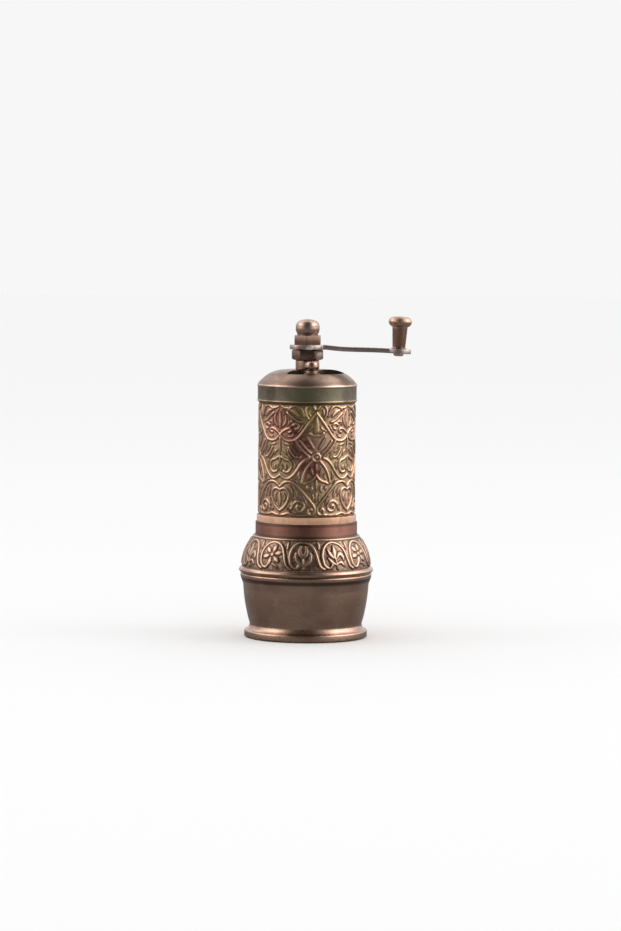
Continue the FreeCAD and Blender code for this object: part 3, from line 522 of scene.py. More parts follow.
def arm_drop(x):
    """How far the arm lies below its hub at a place along it."""
    past = max(0.0, x - (ARM_BEND - ARM_EASE))
    easing = min(past / (2 * ARM_EASE), 1.0)
    bent = past * easing / 2 if easing < 1 else past - ARM_EASE
    share = (x - ARM_BEND) / (ARM_REACH - EYE_RADIUS - ARM_BEND)
    share = min(max(share, 0.0), 1.0)
    return bent * math.tan(ARM_SLOPE) + ARM_SWEEP * math.sin(math.pi * share ** SWEEP_LEAN) ** 2


def arm_mesh():
    """Flat bar with a round hub and eye, bent down outside the hub and swept."""
    hub_edge = math.asin(HUB_HALF_WIDTH / HUB_RADIUS)
    eye_edge = math.pi - math.asin(EYE_HALF_WIDTH / EYE_RADIUS)
    plan = plan_arc(HUB_RADIUS, hub_edge, 2 * math.pi - hub_edge, 48)
    plan += plan_arc(EYE_RADIUS, -eye_edge, eye_edge, 36, ARM_REACH)
    mesh = upright_prism(plan, ARM_FOOT, ARM_TOP)
    shape = bmesh.new()
    shape.from_mesh(mesh)
    swept = ARM_REACH - EYE_RADIUS - ARM_BEND
    cuts = [ARM_BEND - ARM_EASE, ARM_BEND, ARM_BEND + ARM_EASE]
    cuts += [ARM_BEND + swept * cut / SWEEP_CUTS for cut in range(1, SWEEP_CUTS + 1)]
    for cut in cuts:
        everything = shape.verts[:] + shape.edges[:] + shape.faces[:]
        bmesh.ops.bisect_plane(shape, geom=everything, plane_co=(cut * MM, 0, 0), plane_no=(1, 0, 0))
    for vert in shape.verts:
        vert.co.z -= arm_drop(vert.co.x / MM) * MM
    shape.to_mesh(mesh)
    shape.free()
    return bevelled(mesh, ARM_EDGE, segments=3, limit=40)


# Geometry Nodes

def step_of(tree, kind, inputs=None, **settings):
    """New node of a tree, with its settings and its inputs, which are sockets or values."""
    step = tree.nodes.new(kind)
    for key, value in settings.items():
        setattr(step, key, value)
    for key, value in (inputs or {}).items():
        if isinstance(value, bpy.types.NodeSocket):
            tree.links.new(value, step.inputs[key])
        else:
            step.inputs[key].default_value = value
    return step


def calc(tree, operation, first, second=0.0, clamp=False):
    """Result of a sum."""
    step = step_of(tree, "ShaderNodeMath", {0: first, 1: second}, operation=operation, use_clamp=clamp)
    return step.outputs[0]


def parted(tree, vector):
    """X, Y and Z of a vector."""
    return step_of(tree, "ShaderNodeSeparateXYZ", {0: vector}).outputs


def joined(tree, **parts):
    """Vector of its X, Y and Z."""
    return step_of(tree, "ShaderNodeCombineXYZ", parts).outputs[0]


def position_of(tree):
    """Position of each point."""
    return step_of(tree, "GeometryNodeInputPosition").outputs[0]


def noted(tree, name):
    """Value stored at each point under a name."""
    return step_of(tree, "GeometryNodeInputNamedAttribute", {"Name": name}, data_type="FLOAT").outputs[0]


def stored(tree, shape, name, value):
    """Shape with a value stored at each point under a name."""
    inputs = {"Geometry": shape, "Name": name, "Value": value}
    step = step_of(tree, "GeometryNodeStoreNamedAttribute", inputs, data_type="FLOAT", domain="POINT")
    return step.outputs[0]


def picked(tree, shape, value, index, kind="FLOAT"):
    """Value at one point of a shape, by its number."""
    inputs = {"Geometry": shape, "Value": value, "Index": index}
    return step_of(tree, "GeometryNodeSampleIndex", inputs, data_type=kind).outputs[0]


def shape_of(tree, tool):
    """Shape of another object."""
    return step_of(tree, "GeometryNodeObjectInfo", {"Object": tool}).outputs["Geometry"]


def distance_to(tree, lines, place):
    """Distance from a place to the nearest line."""
    inputs = {0: lines, "Sample Position": place}
    return step_of(tree, "GeometryNodeProximity", inputs, target_element="EDGES").outputs["Distance"]


def ridge(tree, distance, width):
    """Rounded swelling over a line: 1 on the line and 0 from a width away."""
    share = calc(tree, "DIVIDE", distance, width, clamp=True)
    rest = calc(tree, "SUBTRACT", 1.0, calc(tree, "MULTIPLY", share, share))
    return calc(tree, "POWER", rest, RIDGE_ROUND)


def scattered(tree, pattern, repeats, cell, spacing):
    """Strokes of one repeat as fine lines with their widths, set out round the piece and past its seam."""
    fine = step_of(tree, "GeometryNodeResampleCurve", {"Curve": shape_of(tree, pattern), "Length": spacing},
                   mode="LENGTH").outputs[0]
    marked = stored(tree, fine, "girth", step_of(tree, "GeometryNodeInputRadius").outputs[0])
    lines = step_of(tree, "GeometryNodeCurveToMesh", {"Curve": marked}).outputs[0]
    start = joined(tree, X=calc(tree, "MULTIPLY", cell, -1.0))
    count = calc(tree, "ADD", repeats, SPARE_REPEATS)
    places = step_of(tree, "GeometryNodeMeshLine",
                     {"Count": count, "Start Location": start, "Offset": joined(tree, X=cell)},
                     mode="OFFSET").outputs[0]
    copies = step_of(tree, "GeometryNodeInstanceOnPoints", {"Points": places, "Instance": lines}).outputs[0]
    return step_of(tree, "GeometryNodeRealizeInstances", {"Geometry": copies}).outputs[0]


def chased_wall_tree():
    """Turned wall whose field is raised along strands and leaves that repeat round it."""
    tree = bpy.data.node_groups.new("chased_wall", "GeometryNodeTree")
    for kind, names in (
            ("NodeSocketObject", ("Outline", "Strands", "Leaves")),
            ("NodeSocketMaterial", ("Finish",)),
            ("NodeSocketInt", ("Columns", "Rows", "Repeats")),
            ("NodeSocketFloat", ("Cell", "Turn", "Strand Width", "Strand Height", "Leaf Height"))):
        for name in names:
            tree.interface.new_socket(name=name, in_out="INPUT", socket_type=kind)
    tree.interface.new_socket(name="Wall", in_out="OUTPUT", socket_type="NodeSocketGeometry")
    given = tree.nodes.new("NodeGroupInput").outputs

    # A flat grid has a column for each step round the wall and a row for each point of the outline
    columns = calc(tree, "ADD", given["Columns"], 1.0)
    grid = step_of(tree, "GeometryNodeMeshGrid", {
        "Size X": 1.0, "Size Y": 1.0, "Vertices X": columns, "Vertices Y": given["Rows"]}).outputs["Mesh"]
    place = parted(tree, position_of(tree))
    round_share = calc(tree, "ADD", place["X"], 0.5)
    up_share = calc(tree, "ADD", place["Y"], 0.5)
    last_row = calc(tree, "SUBTRACT", given["Rows"], 1.0)
    row = calc(tree, "ROUND", calc(tree, "MULTIPLY", up_share, last_row))
    outline = shape_of(tree, given["Outline"])
    point = parted(tree, picked(tree, outline, position_of(tree), row, "FLOAT_VECTOR"))
    along, worked = [picked(tree, outline, noted(tree, name), row) for name in ("along", "worked")]

    # Each point finds the nearest strand and leaf on the unrolled field and rises by the higher of the two
    span = calc(tree, "MULTIPLY", given["Repeats"], given["Cell"])
    unrolled = joined(tree, X=calc(tree, "MULTIPLY", round_share, span), Y=along)
    strands = scattered(tree, given["Strands"], given["Repeats"], given["Cell"], STRAND_STEP * MM)
    off_strand = distance_to(tree, strands, unrolled)
    strand_rise = ridge(tree, off_strand, given["Strand Width"])
    strand_rise = calc(tree, "MULTIPLY", strand_rise, given["Strand Height"])
    strand_edge = calc(tree, "SUBTRACT", off_strand, given["Strand Width"])
    leaves = scattered(tree, given["Leaves"], given["Repeats"], given["Cell"], LEAF_STEP * MM)
    off_leaf = distance_to(tree, leaves, unrolled)
    nearest = step_of(tree, "GeometryNodeSampleNearest", {"Geometry": leaves, "Sample Position": unrolled})
    girth = picked(tree, leaves, noted(tree, "girth"), nearest.outputs[0])
    leaf_rise = calc(tree, "MULTIPLY", ridge(tree, off_leaf, girth), given["Leaf Height"])
    leaf_edge = calc(tree, "SUBTRACT", off_leaf, girth)
    raised = calc(tree, "MULTIPLY", calc(tree, "MAXIMUM", strand_rise, leaf_rise), worked)
    edge = calc(tree, "DIVIDE", calc(tree, "MINIMUM", strand_edge, leaf_edge), MM)

    # The grid is rolled up, and the finish gets the relief's height, the field and the way to an edge
    angle = calc(tree, "ADD", calc(tree, "MULTIPLY", round_share, 2 * math.pi), given["Turn"])
    radius = calc(tree, "ADD", point["X"], raised)
    sideways = calc(tree, "MULTIPLY", radius, calc(tree, "SINE", angle))
    forwards = calc(tree, "MULTIPLY", radius, calc(tree, "COSINE", angle))
    position = joined(tree, X=sideways, Y=calc(tree, "MULTIPLY", forwards, -1.0), Z=point["Z"])
    wall = stored(tree, grid, "raised", calc(tree, "DIVIDE", raised, given["Strand Height"]))
    wall = stored(tree, wall, "field", worked)
    wall = stored(tree, wall, "edge", edge)
    for kind, inputs in (
            ("GeometryNodeSetPosition", {"Position": position}),
            ("GeometryNodeMergeByDistance", {"Distance": SEAM * MM}),
            ("GeometryNodeRealizeInstances", {}),
            ("GeometryNodeSetMaterial", {"Material": given["Finish"]})):
        wall = step_of(tree, kind, {"Geometry": wall, **inputs}).outputs[0]
    step_of(tree, "NodeGroupOutput", {"Wall": wall})
    return tree


def stroke_curves(name, strokes, stretch=1.0):
    """Curve object of strokes laid flat: across, up and, where given, half width."""
    curves = bpy.data.curves.new(name, "CURVE")
    for stroke in strokes:
        spline = curves.splines.new("BEZIER")
        spline.resolution_u = 8
        spline.bezier_points.add(len(stroke) - 1)
        for knot, place in zip(spline.bezier_points, stroke):
            knot.co = (place[0] * MM, place[1] * stretch * MM, 0)
            knot.radius = (place[2] if len(place) == 3 else 1.0) * MM
            knot.handle_left_type = knot.handle_right_type = "AUTO"
    return placed(name, curves)


def field_outline(name, outline, field, rows, fade):
    """Line object of an outline whose field has even rows, with how far along the field each point lies."""
    before = smooth_outline(outline[:field + 1], EDGE, WALL_ARC_STEPS)
    after = smooth_outline(outline[field + 1:], EDGE, WALL_ARC_STEPS)
    start, end = outline[field:field + 2]
    if rise_of(start):
        inside = arc_points(start, end, rise_of(start), rows) + [Vector(end[:2])]
    else:
        inside = [Vector(start[:2]).lerp(Vector(end[:2]), step / rows) for step in range(rows + 1)]
    points = before[:-1] + inside + after[1:]
    mesh = bpy.data.meshes.new(name)
    edges = [(index, index + 1) for index in range(len(points) - 1)]
    mesh.from_pydata([(point.x * MM, 0, point.y * MM) for point in points], edges, [])
    along = mesh.attributes.new("along", "FLOAT", "POINT")
    worked = mesh.attributes.new("worked", "FLOAT", "POINT")
    travelled = 0.0
    for index, point in enumerate(points):
        step = index - len(before) + 1
        if 0 < step < len(inside):
            travelled += (point - points[index - 1]).length
        along.data[index].value = travelled * MM
        worked.data[index].value = max(0.0, min(1.0, step / fade, (rows - step) / fade))
    return placed(name, mesh), len(points)


def chased_wall(name, tree, sizes):
    """Piece of a chased wall, as a plain mesh."""
    piece = placed(name, bpy.data.meshes.new(name))
    modifier = piece.modifiers.new("chasing", "NODES")
    modifier.node_group = tree
    for item in tree.interface.items_tree:
        if item.item_type == "SOCKET" and item.in_out == "INPUT":
            modifier[item.identifier] = sizes[item.name]
    mesh = applied(piece)
    for tool in ("Outline", "Strands", "Leaves"):
        bpy.data.objects.remove(sizes[tool])
    return keep_mesh(name, mesh, sharp=50)


# Materials

def finish_tree(name):
    """New material with its nodes and its shader."""
    material = bpy.data.materials.new(name)
    material.use_nodes = True
    return material, material.node_tree, material.node_tree.nodes["Principled BSDF"]


def object_place(tree):
    """Place on the piece, in metres."""
    return step_of(tree, "ShaderNodeTexCoord").outputs["Object"]


def clouds(tree, where, scale, detail=2.0, roughness=0.55, distortion=0.0):
    """Noise over a place."""
    return step_of(tree, "ShaderNodeTexNoise", {
        "Vector": where, "Scale": scale, "Detail": detail, "Roughness": roughness,
        "Distortion": distortion}).outputs["Fac"]


def ramp(tree, value, low, high, first=0.0, last=1.0):
    """Value carried from one range to another, eased and clamped."""
    return step_of(tree, "ShaderNodeMapRange", {
        "Value": value, "From Min": low, "From Max": high, "To Min": first, "To Max": last},
        interpolation_type="SMOOTHSTEP").outputs[0]


def mixed(tree, share, first, second):
    """Value between two others."""
    return step_of(tree, "ShaderNodeMix", {0: share, 2: first, 3: second}).outputs[0]


def blend(tree, share, first, second):
    """Colour between two others."""
    return step_of(tree, "ShaderNodeMix", {0: share, 6: first, 7: second}, data_type="RGBA").outputs[2]


def colour(red, green, blue):
    """Opaque colour."""
    return (red, green, blue, 1.0)


def banded(tree, where, low, high, soft):
    """Share of a band between two heights, with edges of some softness."""
    height = parted(tree, where)["Z"]
    rise = ramp(tree, height, (low - soft) * MM, (low + soft) * MM)
    return calc(tree, "MULTIPLY", rise, ramp(tree, height, (high + soft) * MM, (high - soft) * MM))


def with_bands(tree, where, cloud, tint, rough, bands, base):
    """Colour and roughness with bands of other tints laid over them, at heights over a base."""
    for low, high, soft, first, second, band_rough in bands:
        share = banded(tree, where, base + low, base + high, soft)
        tint = blend(tree, share, tint, blend(tree, ramp(tree, cloud, 0.42, 0.62), first, second))
        rough = mixed(tree, share, rough, band_rough)
    return tint, rough


def patch(tree, where, cloud, middle, reach, base):
    """Share of a patch round a point over a base, with a ragged edge and an even core."""
    x, y, up = middle
    ragged = 1.6 * reach * MM
    core = 0.35 * reach * MM
    away = (-x * MM, -y * MM, -(base + up) * MM)
    shift = step_of(tree, "ShaderNodeMapping", {"Vector": where, "Location": away}).outputs[0]
    distance = step_of(tree, "ShaderNodeVectorMath", {0: shift}, operation="LENGTH").outputs["Value"]
    wander = calc(tree, "MULTIPLY", calc(tree, "SUBTRACT", cloud, 0.5), ragged)
    return ramp(tree, calc(tree, "ADD", distance, wander), reach * MM, core)


def turning_marks(tree, where):
    """Fine rings left by a lathe."""
    rings = step_of(tree, "ShaderNodeMapping", {"Vector": where, "Scale": (30.0, 30.0, 2600.0)}).outputs[0]
    return clouds(tree, rings, scale=1.0)


def dress(tree, shader, tint, rough, height, strength, depth, metal=1.0):
    """Join a metal's colour, roughness and bump to its shader."""
    tree.links.new(tint, shader.inputs["Base Color"])
    tree.links.new(rough, shader.inputs["Roughness"])
    bump = step_of(tree, "ShaderNodeBump", {"Strength": strength, "Distance": depth * MM, "Height": height})
    tree.links.new(bump.outputs[0], shader.inputs["Normal"])
    shader.inputs["Metallic"].default_value = metal


def aged_brass(name, body, tarnish, rubbed, rough, bands=(), patches=(), base=0.0, metal=1.0):
    """Satin brass: cloudy tarnish, fine pitting, turning marks, and bands and patches of other tints, some
    of them painted shade and painted highlights.
    """
    material, tree, shader = finish_tree(name)
    where = object_place(tree)
    cloud = clouds(tree, where, scale=160.0, detail=4.0, roughness=0.6, distortion=0.4)
    fine = clouds(tree, where, scale=1440.0)
    tint = blend(tree, ramp(tree, cloud, 0.38, 0.66), body, tarnish)
    satin = calc(tree, "ADD", cloud, calc(tree, "MULTIPLY", fine, 0.5))
    satin = ramp(tree, satin, 0.5, 1.0, rough - 0.06, rough + 0.12)
    tint, satin = with_bands(tree, where, cloud, tint, satin, bands, base)
    # Patches laid on in turn; the finishes note which of them are painted shade and which painted
    # highlights
    for patch_tint, middle, reach in patches:
        tint = blend(tree, patch(tree, where, cloud, middle, reach, base), tint, patch_tint)
    tint = blend(tree, ramp(tree, fine, 0.56, 0.74, 0.0, 0.3), tint, rubbed)
    height = calc(tree, "ADD", turning_marks(tree, where), fine)
    dress(tree, shader, tint, satin, height, strength=0.25, depth=0.02, metal=metal)
    return material


def chased_brass(name, foot_patina_and_shade, ground, rubbed, blotches, plain, bands, rough, plain_rough, base=0.0):
    """Embossed brass: matted ground in cloudy colours, dark with patina and painted shade at the foot of
    strokes, bright on ridges.
    """
    material, tree, shader = finish_tree(name)
    where = object_place(tree)
    raised, field, edge = [step_of(tree, "ShaderNodeAttribute", attribute_name=key).outputs["Fac"]
                           for key in ("raised", "field", "edge")]
    cloud = clouds(tree, where, scale=110.0, detail=4.0, roughness=0.6, distortion=0.5)
    fine = clouds(tree, where, scale=1500.0)
    matting = clouds(tree, where, scale=900.0, detail=1.0)
    low = calc(tree, "SUBTRACT", 1.0, raised, clamp=True)
    unworked = calc(tree, "SUBTRACT", 1.0, field)

    # Colour of the chased field
    bed, crest = ground, rubbed
    for tint, crest_tint, middle, reach in blotches:
        share = patch(tree, where, cloud, middle, reach, base)
        bed = blend(tree, share, bed, tint)
        crest = blend(tree, share, crest, crest_tint)
    speckle = calc(tree, "MULTIPLY", ramp(tree, matting, 0.42, 0.66, 0.0, 0.45), low)
    bed = blend(tree, speckle, bed, crest)
    worn = calc(tree, "ADD", raised, calc(tree, "MULTIPLY", calc(tree, "SUBTRACT", fine, 0.5), 0.4))
    # Dark at the foot of each stroke: patina in the hollow and painted shade where the stroke meets the
    # ground
    foot_patina_and_shade_share = calc(tree, "MULTIPLY", ramp(tree, edge, -0.25, 0.0), ramp(tree, edge, 0.45, 0.08))
    foot_patina_and_shade_share = calc(tree, "MULTIPLY", foot_patina_and_shade_share, ramp(tree, cloud, 0.25, 0.6, 0.9, 0.55))
    tint = blend(tree, foot_patina_and_shade_share, blend(tree, ramp(tree, worn, 0.3, 1.0), bed, crest), foot_patina_and_shade)

    # Plain stretches beside it, then both together
    satin = ramp(tree, calc(tree, "ADD", fine, cloud), 0.6, 1.4, plain_rough - 0.05, plain_rough + 0.08)
    bare = blend(tree, ramp(tree, cloud, 0.4, 0.62), *plain)
    bare, satin = with_bands(tree, where, cloud, bare, satin, bands, base)
    matt = calc(tree, "ADD", calc(tree, "MULTIPLY", fine, 1.6), low)
    matt = ramp(tree, matt, 0.2, 1.9, rough - 0.06, rough + 0.12)
    marks = calc(tree, "MULTIPLY", turning_marks(tree, where), unworked)
    struck = calc(tree, "MULTIPLY", matting, low)
    struck = calc(tree, "MULTIPLY", struck, calc(tree, "MULTIPLY", field, 3.0))
    height = calc(tree, "ADD", calc(tree, "ADD", fine, cloud), calc(tree, "ADD", marks, struck))
    dress(tree, shader, blend(tree, field, bare, tint), mixed(tree, field, satin, matt), height,
          strength=0.4, depth=0.04)
    return material


def plain_steel(name, tint, patch_tint, rough):
    """Turned steel or iron, stained in places."""
    material, tree, shader = finish_tree(name)
    where = object_place(tree)
    cloud = clouds(tree, where, scale=240.0, detail=4.0)
    fine = clouds(tree, where, scale=2400.0)
    dress(tree, shader, blend(tree, ramp(tree, cloud, 0.4, 0.7), tint, patch_tint),
          ramp(tree, fine, 0.3, 0.7, rough - 0.08, rough + 0.1), calc(tree, "ADD", cloud, fine),
          strength=0.3, depth=0.02)
    return material


# Clouds of colour on the barrel, as the ground's and the ridges' tints, and the same on its far side.
# Their middles are over the barrel's foot.
OLIVE = (colour(0.25, 0.18, 0.075), colour(0.48, 0.36, 0.185))
RUDDY = (colour(0.27, 0.11, 0.075), colour(0.56, 0.31, 0.235))
MAROON = (colour(0.12, 0.04, 0.034), colour(0.44, 0.245, 0.18))
TAN = (colour(0.27, 0.18, 0.098), colour(0.50, 0.35, 0.22))
patina = []
for tints, middle, spread in (
        (TAN, (-9.0, -13.2, 26.95), 9.0), (TAN, (11.0, -11.6, 26.95), 9.0),
        (TAN, (1.0, -16.0, 15.45), 11.0), (RUDDY, (-8.5, -13.6, 39.45), 9.0),
        (OLIVE, (1.0, -16.0, 41.45), 9.0), (MAROON, (-3.7, -15.5, 36.95), 4.0),
        (MAROON, (-1.4, -15.9, 31.95), 5.5), (MAROON, (1.2, -15.9, 24.45), 5.0)):
    patina.append((*tints, middle, spread))
    patina.append((*tints, (-middle[0], -middle[1], middle[2]), spread))

# Finishes, whose bands and patches have their heights over a base, which is the table where none is given.
# A band is its low and high edge, its softness, two tints and its roughness.
# A patch is its tint, its middle and its reach.
barrel_finish = chased_brass(
    "barrel_brass", foot_patina_and_shade=colour(0.11, 0.06, 0.04), ground=colour(0.33, 0.20, 0.125),
    rubbed=colour(0.54, 0.345, 0.24), blotches=patina,
    plain=(colour(0.33, 0.20, 0.125), colour(0.28, 0.17, 0.105)),
    # First band: the field's top and the collar under the lid's rim, darkened as painted shadow
    bands=[(44.55, 46.53, 0.1, colour(0.13, 0.085, 0.045), colour(0.10, 0.065, 0.04), 0.6),
           # Second band: a dark line over the low band, at the foot of the field, as painted shadow
           (8.4, 9.35, 0.08, colour(0.24, 0.145, 0.09), colour(0.20, 0.12, 0.075), 0.6)],
    rough=0.36, plain_rough=0.5, base=foot("barrel"))
low_band_finish = aged_brass(
    "low_band_brass", body=colour(0.62, 0.36, 0.225), tarnish=colour(0.43, 0.235, 0.13),
    rubbed=colour(0.70, 0.45, 0.31), rough=0.5,
    # Lighter line along the band's lower edge: painted highlight
    bands=[(5.85, 6.3, 0.1, colour(0.70, 0.45, 0.31), colour(0.62, 0.38, 0.25), 0.42)],
    # Pinker patches at the band's left and right ends, towards the front: painted reflection
    patches=[(colour(0.62, 0.375, 0.28), (-16.0, -5.0, 6.95), 6.0),
             (colour(0.62, 0.385, 0.29), (16.0, -5.0, 6.95), 6.0)],
    base=foot("barrel"), metal=0.45)
cup_finish = chased_brass(
    "cup_brass", foot_patina_and_shade=colour(0.033, 0.021, 0.015), ground=colour(0.125, 0.079, 0.056),
    rubbed=colour(0.44, 0.275, 0.192), blotches=[],
    plain=(colour(0.36, 0.23, 0.17), colour(0.28, 0.175, 0.13)),
    bands=[(34.65, 40.0, 0.1, colour(0.215, 0.098, 0.073), colour(0.165, 0.078, 0.058), 0.5),
           # Darker top of the neck, under the barrel: painted shadow
           (38.2, 40.0, 0.2, colour(0.12, 0.06, 0.045), colour(0.10, 0.052, 0.038), 0.52),
           # Darker foot of the neck, over the bulge: painted shade
           (34.2, 35.2, 0.25, colour(0.10, 0.06, 0.045), colour(0.08, 0.05, 0.04), 0.4),
           # Darker band under the ledge: painted shadow
           (19.1, 20.5, 0.5, colour(0.10, 0.066, 0.047), colour(0.08, 0.053, 0.038), 0.4)],
    rough=0.33, plain_rough=0.29)
lid_finish = aged_brass(
    "lid_brass", body=colour(0.205, 0.137, 0.107), tarnish=colour(0.155, 0.10, 0.075),
    rubbed=colour(0.27, 0.198, 0.162), rough=0.36,
    bands=[(0.5, 4.8, 0.1, colour(0.145, 0.13, 0.082), colour(0.122, 0.10, 0.074), 0.52),
           (-0.6, 0.4, 0.1, colour(0.36, 0.30, 0.16), colour(0.30, 0.23, 0.14), 0.38),
           # Darker dome just over the rim: painted shade
           (5.8, 6.9, 0.4, colour(0.165, 0.11, 0.085), colour(0.135, 0.088, 0.067), 0.4),
           (4.9, 5.65, 0.1, colour(0.43, 0.31, 0.25), colour(0.37, 0.262, 0.207), 0.38)],
    # Darker, browner ends of the green band at the left and right of the front: painted shade
    patches=[(colour(0.085, 0.064, 0.05), (-12.2, -11.4, 2.2), 4.0),
             (colour(0.10, 0.082, 0.066), (13.2, -10.2, 2.2), 3.2)],
    base=foot("lid"))
fitting_finish = aged_brass(
    "fitting_brass", body=colour(0.32, 0.20, 0.15), tarnish=colour(0.22, 0.135, 0.10),
    rubbed=colour(0.46, 0.32, 0.26), rough=0.29)
nut_finish = aged_brass(
    "nut_brass", body=colour(0.225, 0.138, 0.105), tarnish=colour(0.15, 0.09, 0.067),
    rubbed=colour(0.35, 0.245, 0.195), rough=0.27,
    # Lighter patch on the nut's right front face: painted highlight
    patches=[(colour(0.34, 0.265, 0.24), (4.4, -2.4, 1.72), 2.8)], base=foot("arm_nut"))
cap_finish = aged_brass(
    "cap_brass", body=colour(0.35, 0.235, 0.185), tarnish=colour(0.265, 0.175, 0.135),
    rubbed=colour(0.48, 0.35, 0.29), rough=0.34,
    bands=[(-0.33, 3.47, 0.1, colour(0.17, 0.105, 0.08), colour(0.135, 0.083, 0.062), 0.34)],
    base=foot("cap_nut"))
knob_finish = aged_brass(
    "knob_brass", body=colour(0.43, 0.265, 0.195), tarnish=colour(0.33, 0.20, 0.145),
    rubbed=colour(0.56, 0.39, 0.31), rough=0.37,
    bands=[(-2.33, 5.87, 0.3, colour(0.255, 0.143, 0.10), colour(0.205, 0.113, 0.08), 0.37)], base=ARM_TOP)
arm_finish = aged_brass(
    "crank_brass", body=colour(0.43, 0.355, 0.32), tarnish=colour(0.32, 0.26, 0.235),
    rubbed=colour(0.54, 0.48, 0.45), rough=0.34,
    # The first three patches, at the front edge of the hub, are painted shade, a painted glint and a
    # painted highlight
    patches=[(colour(0.20, 0.14, 0.115), (-2.4, -5.6, 0.77), 2.4),
             (colour(0.33, 0.27, 0.24), (4.0, -5.0, 0.77), 3.0),
             (colour(0.85, 0.74, 0.67), (0.7, -6.0, 0.77), 1.7),
             (colour(0.31, 0.25, 0.225), (21.0, -2.6, 0.17), 8.0)],
    base=ARM_FOOT)
# Near-black brass inside the barrel's bore, under the lid and on the hopper plate: painted shade
inner_shade_finish = aged_brass(
    "inner_brass", body=colour(0.085, 0.058, 0.034), tarnish=colour(0.045, 0.031, 0.019),
    rubbed=colour(0.15, 0.105, 0.065), rough=0.5)
steel_finish = plain_steel("steel", colour(0.46, 0.45, 0.44), colour(0.26, 0.24, 0.22), rough=0.34)
rivet_finish = plain_steel("rivet_steel", colour(0.44, 0.40, 0.38), colour(0.32, 0.28, 0.265), rough=0.36)
iron_finish = plain_steel("burr_iron", colour(0.13, 0.125, 0.12), colour(0.07, 0.065, 0.06), rough=0.42)


# Pieces

def dressed(piece, finish, slot, body, *replaced):
    """Finish a piece, ride it on its body and let it stand for its solids."""
    if not piece.data.materials:
        piece.data.materials.append(finish)
    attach(piece, body)
    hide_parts(*replaced)


def line_with(piece, finish, chosen):
    """Give another finish to the faces chosen by radius, height and how far they look up."""
    piece.data.materials.append(finish)
    for face in piece.data.polygons:
        if chosen(face.center.xy.length / MM, face.center.z / MM, face.normal.z):
            face.material_index = len(piece.data.materials) - 1


# Barrel, with its low band, spigot and bore in finishes of their own
wall_tree = chased_wall_tree()
barrel_line, barrel_rows = field_outline("barrel_line", BARREL, BARREL_FIELD, BARREL_ROWS, BARREL_FADE)
barrel_wall = chased_wall("barrel_wall", wall_tree, {
    "Outline": barrel_line,
    "Strands": stroke_curves("barrel_strands", both_halves(BARREL_STRANDS), BARREL_STRETCH),
    "Leaves": stroke_curves("barrel_leaves", both_halves(BARREL_LEAVES), BARREL_STRETCH),
    "Finish": barrel_finish, "Columns": BARREL_COLUMNS, "Rows": barrel_rows,
    "Repeats": BARREL_REPEATS, "Cell": BARREL_CELL * MM, "Turn": BARREL_TURN,
    "Strand Width": 0.43 * MM, "Strand Height": 0.38 * MM, "Leaf Height": 0.3 * MM})
line_with(barrel_wall, low_band_finish,
          lambda radius, height, up: height < LOW_BAND_TOP and radius > SPIGOT_RADIUS)
line_with(barrel_wall, fitting_finish, lambda radius, height, up: radius < SPIGOT_RADIUS)
line_with(barrel_wall, inner_shade_finish, lambda radius, height, up: radius < BARREL_BORE)
dressed(barrel_wall, barrel_finish, "barrel_brass", "mill_body", "barrel")

# Cup
cup_line, cup_rows = field_outline("cup_line", CUP, CUP_FIELD, CUP_ROWS, CUP_FADE)
cup_strands = [[(0, CUP_LINE), (CUP_CELL / 2, CUP_LINE), (CUP_CELL, CUP_LINE)]]
cup_leaves = []
for place, sprig in enumerate((rosette, tulip, lily)):
    centre = (place + 0.5) * MEDALLION
    scroll, leaf = medallion(centre)
    cup_strands.append(scroll)
    cup_leaves += [leaf] + sprig(centre)
cup_wall = chased_wall("cup_wall", wall_tree, {
    "Outline": cup_line, "Strands": stroke_curves("cup_strands", cup_strands),
    "Leaves": stroke_curves("cup_leaves", cup_leaves),
    "Finish": cup_finish, "Columns": CUP_COLUMNS, "Rows": cup_rows,
    "Repeats": CUP_REPEATS, "Cell": CUP_CELL * MM, "Turn": CUP_TURN,
    "Strand Width": 0.5 * MM, "Strand Height": 0.34 * MM, "Leaf Height": 0.3 * MM})
dressed(cup_wall, cup_finish, "cup_brass", "base_cup", "base_cup")

# Lid with its windows, its inside near-black as painted shade, and the ball on its crown
lid_blank = turned_mesh(smooth_outline(LID, edge=0.12, steps=24), segments=192)
cutters = [upright_prism(window_plan(*window), CUT_FOOT, CUT_TOP) for window in WINDOWS]
lid_mesh = boolean(lid_blank, cutters, "DIFFERENCE")
lid_cover = keep_mesh("lid_cover", lid_mesh)
lid_mesh.materials.append(lid_finish)
line_with(lid_cover, inner_shade_finish, lambda radius, height, up: radius < LID_BORE and up < LINING_LEAN)
dressed(lid_cover, lid_finish, "lid_brass", "lid", "lid")
ball_mesh = turned_mesh(smooth_outline(LID_BALL, edge=0.1), segments=64)
ball_middle = sum(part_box("lid_knob"), Vector()) / 2
ball_mesh.transform(Matrix.Translation((ball_middle.x, ball_middle.y, (foot("lid") + LID_RISE) * MM)))
dressed(keep_mesh("lid_ball", ball_mesh), fitting_finish, "lid_brass", "lid", "lid_knob")

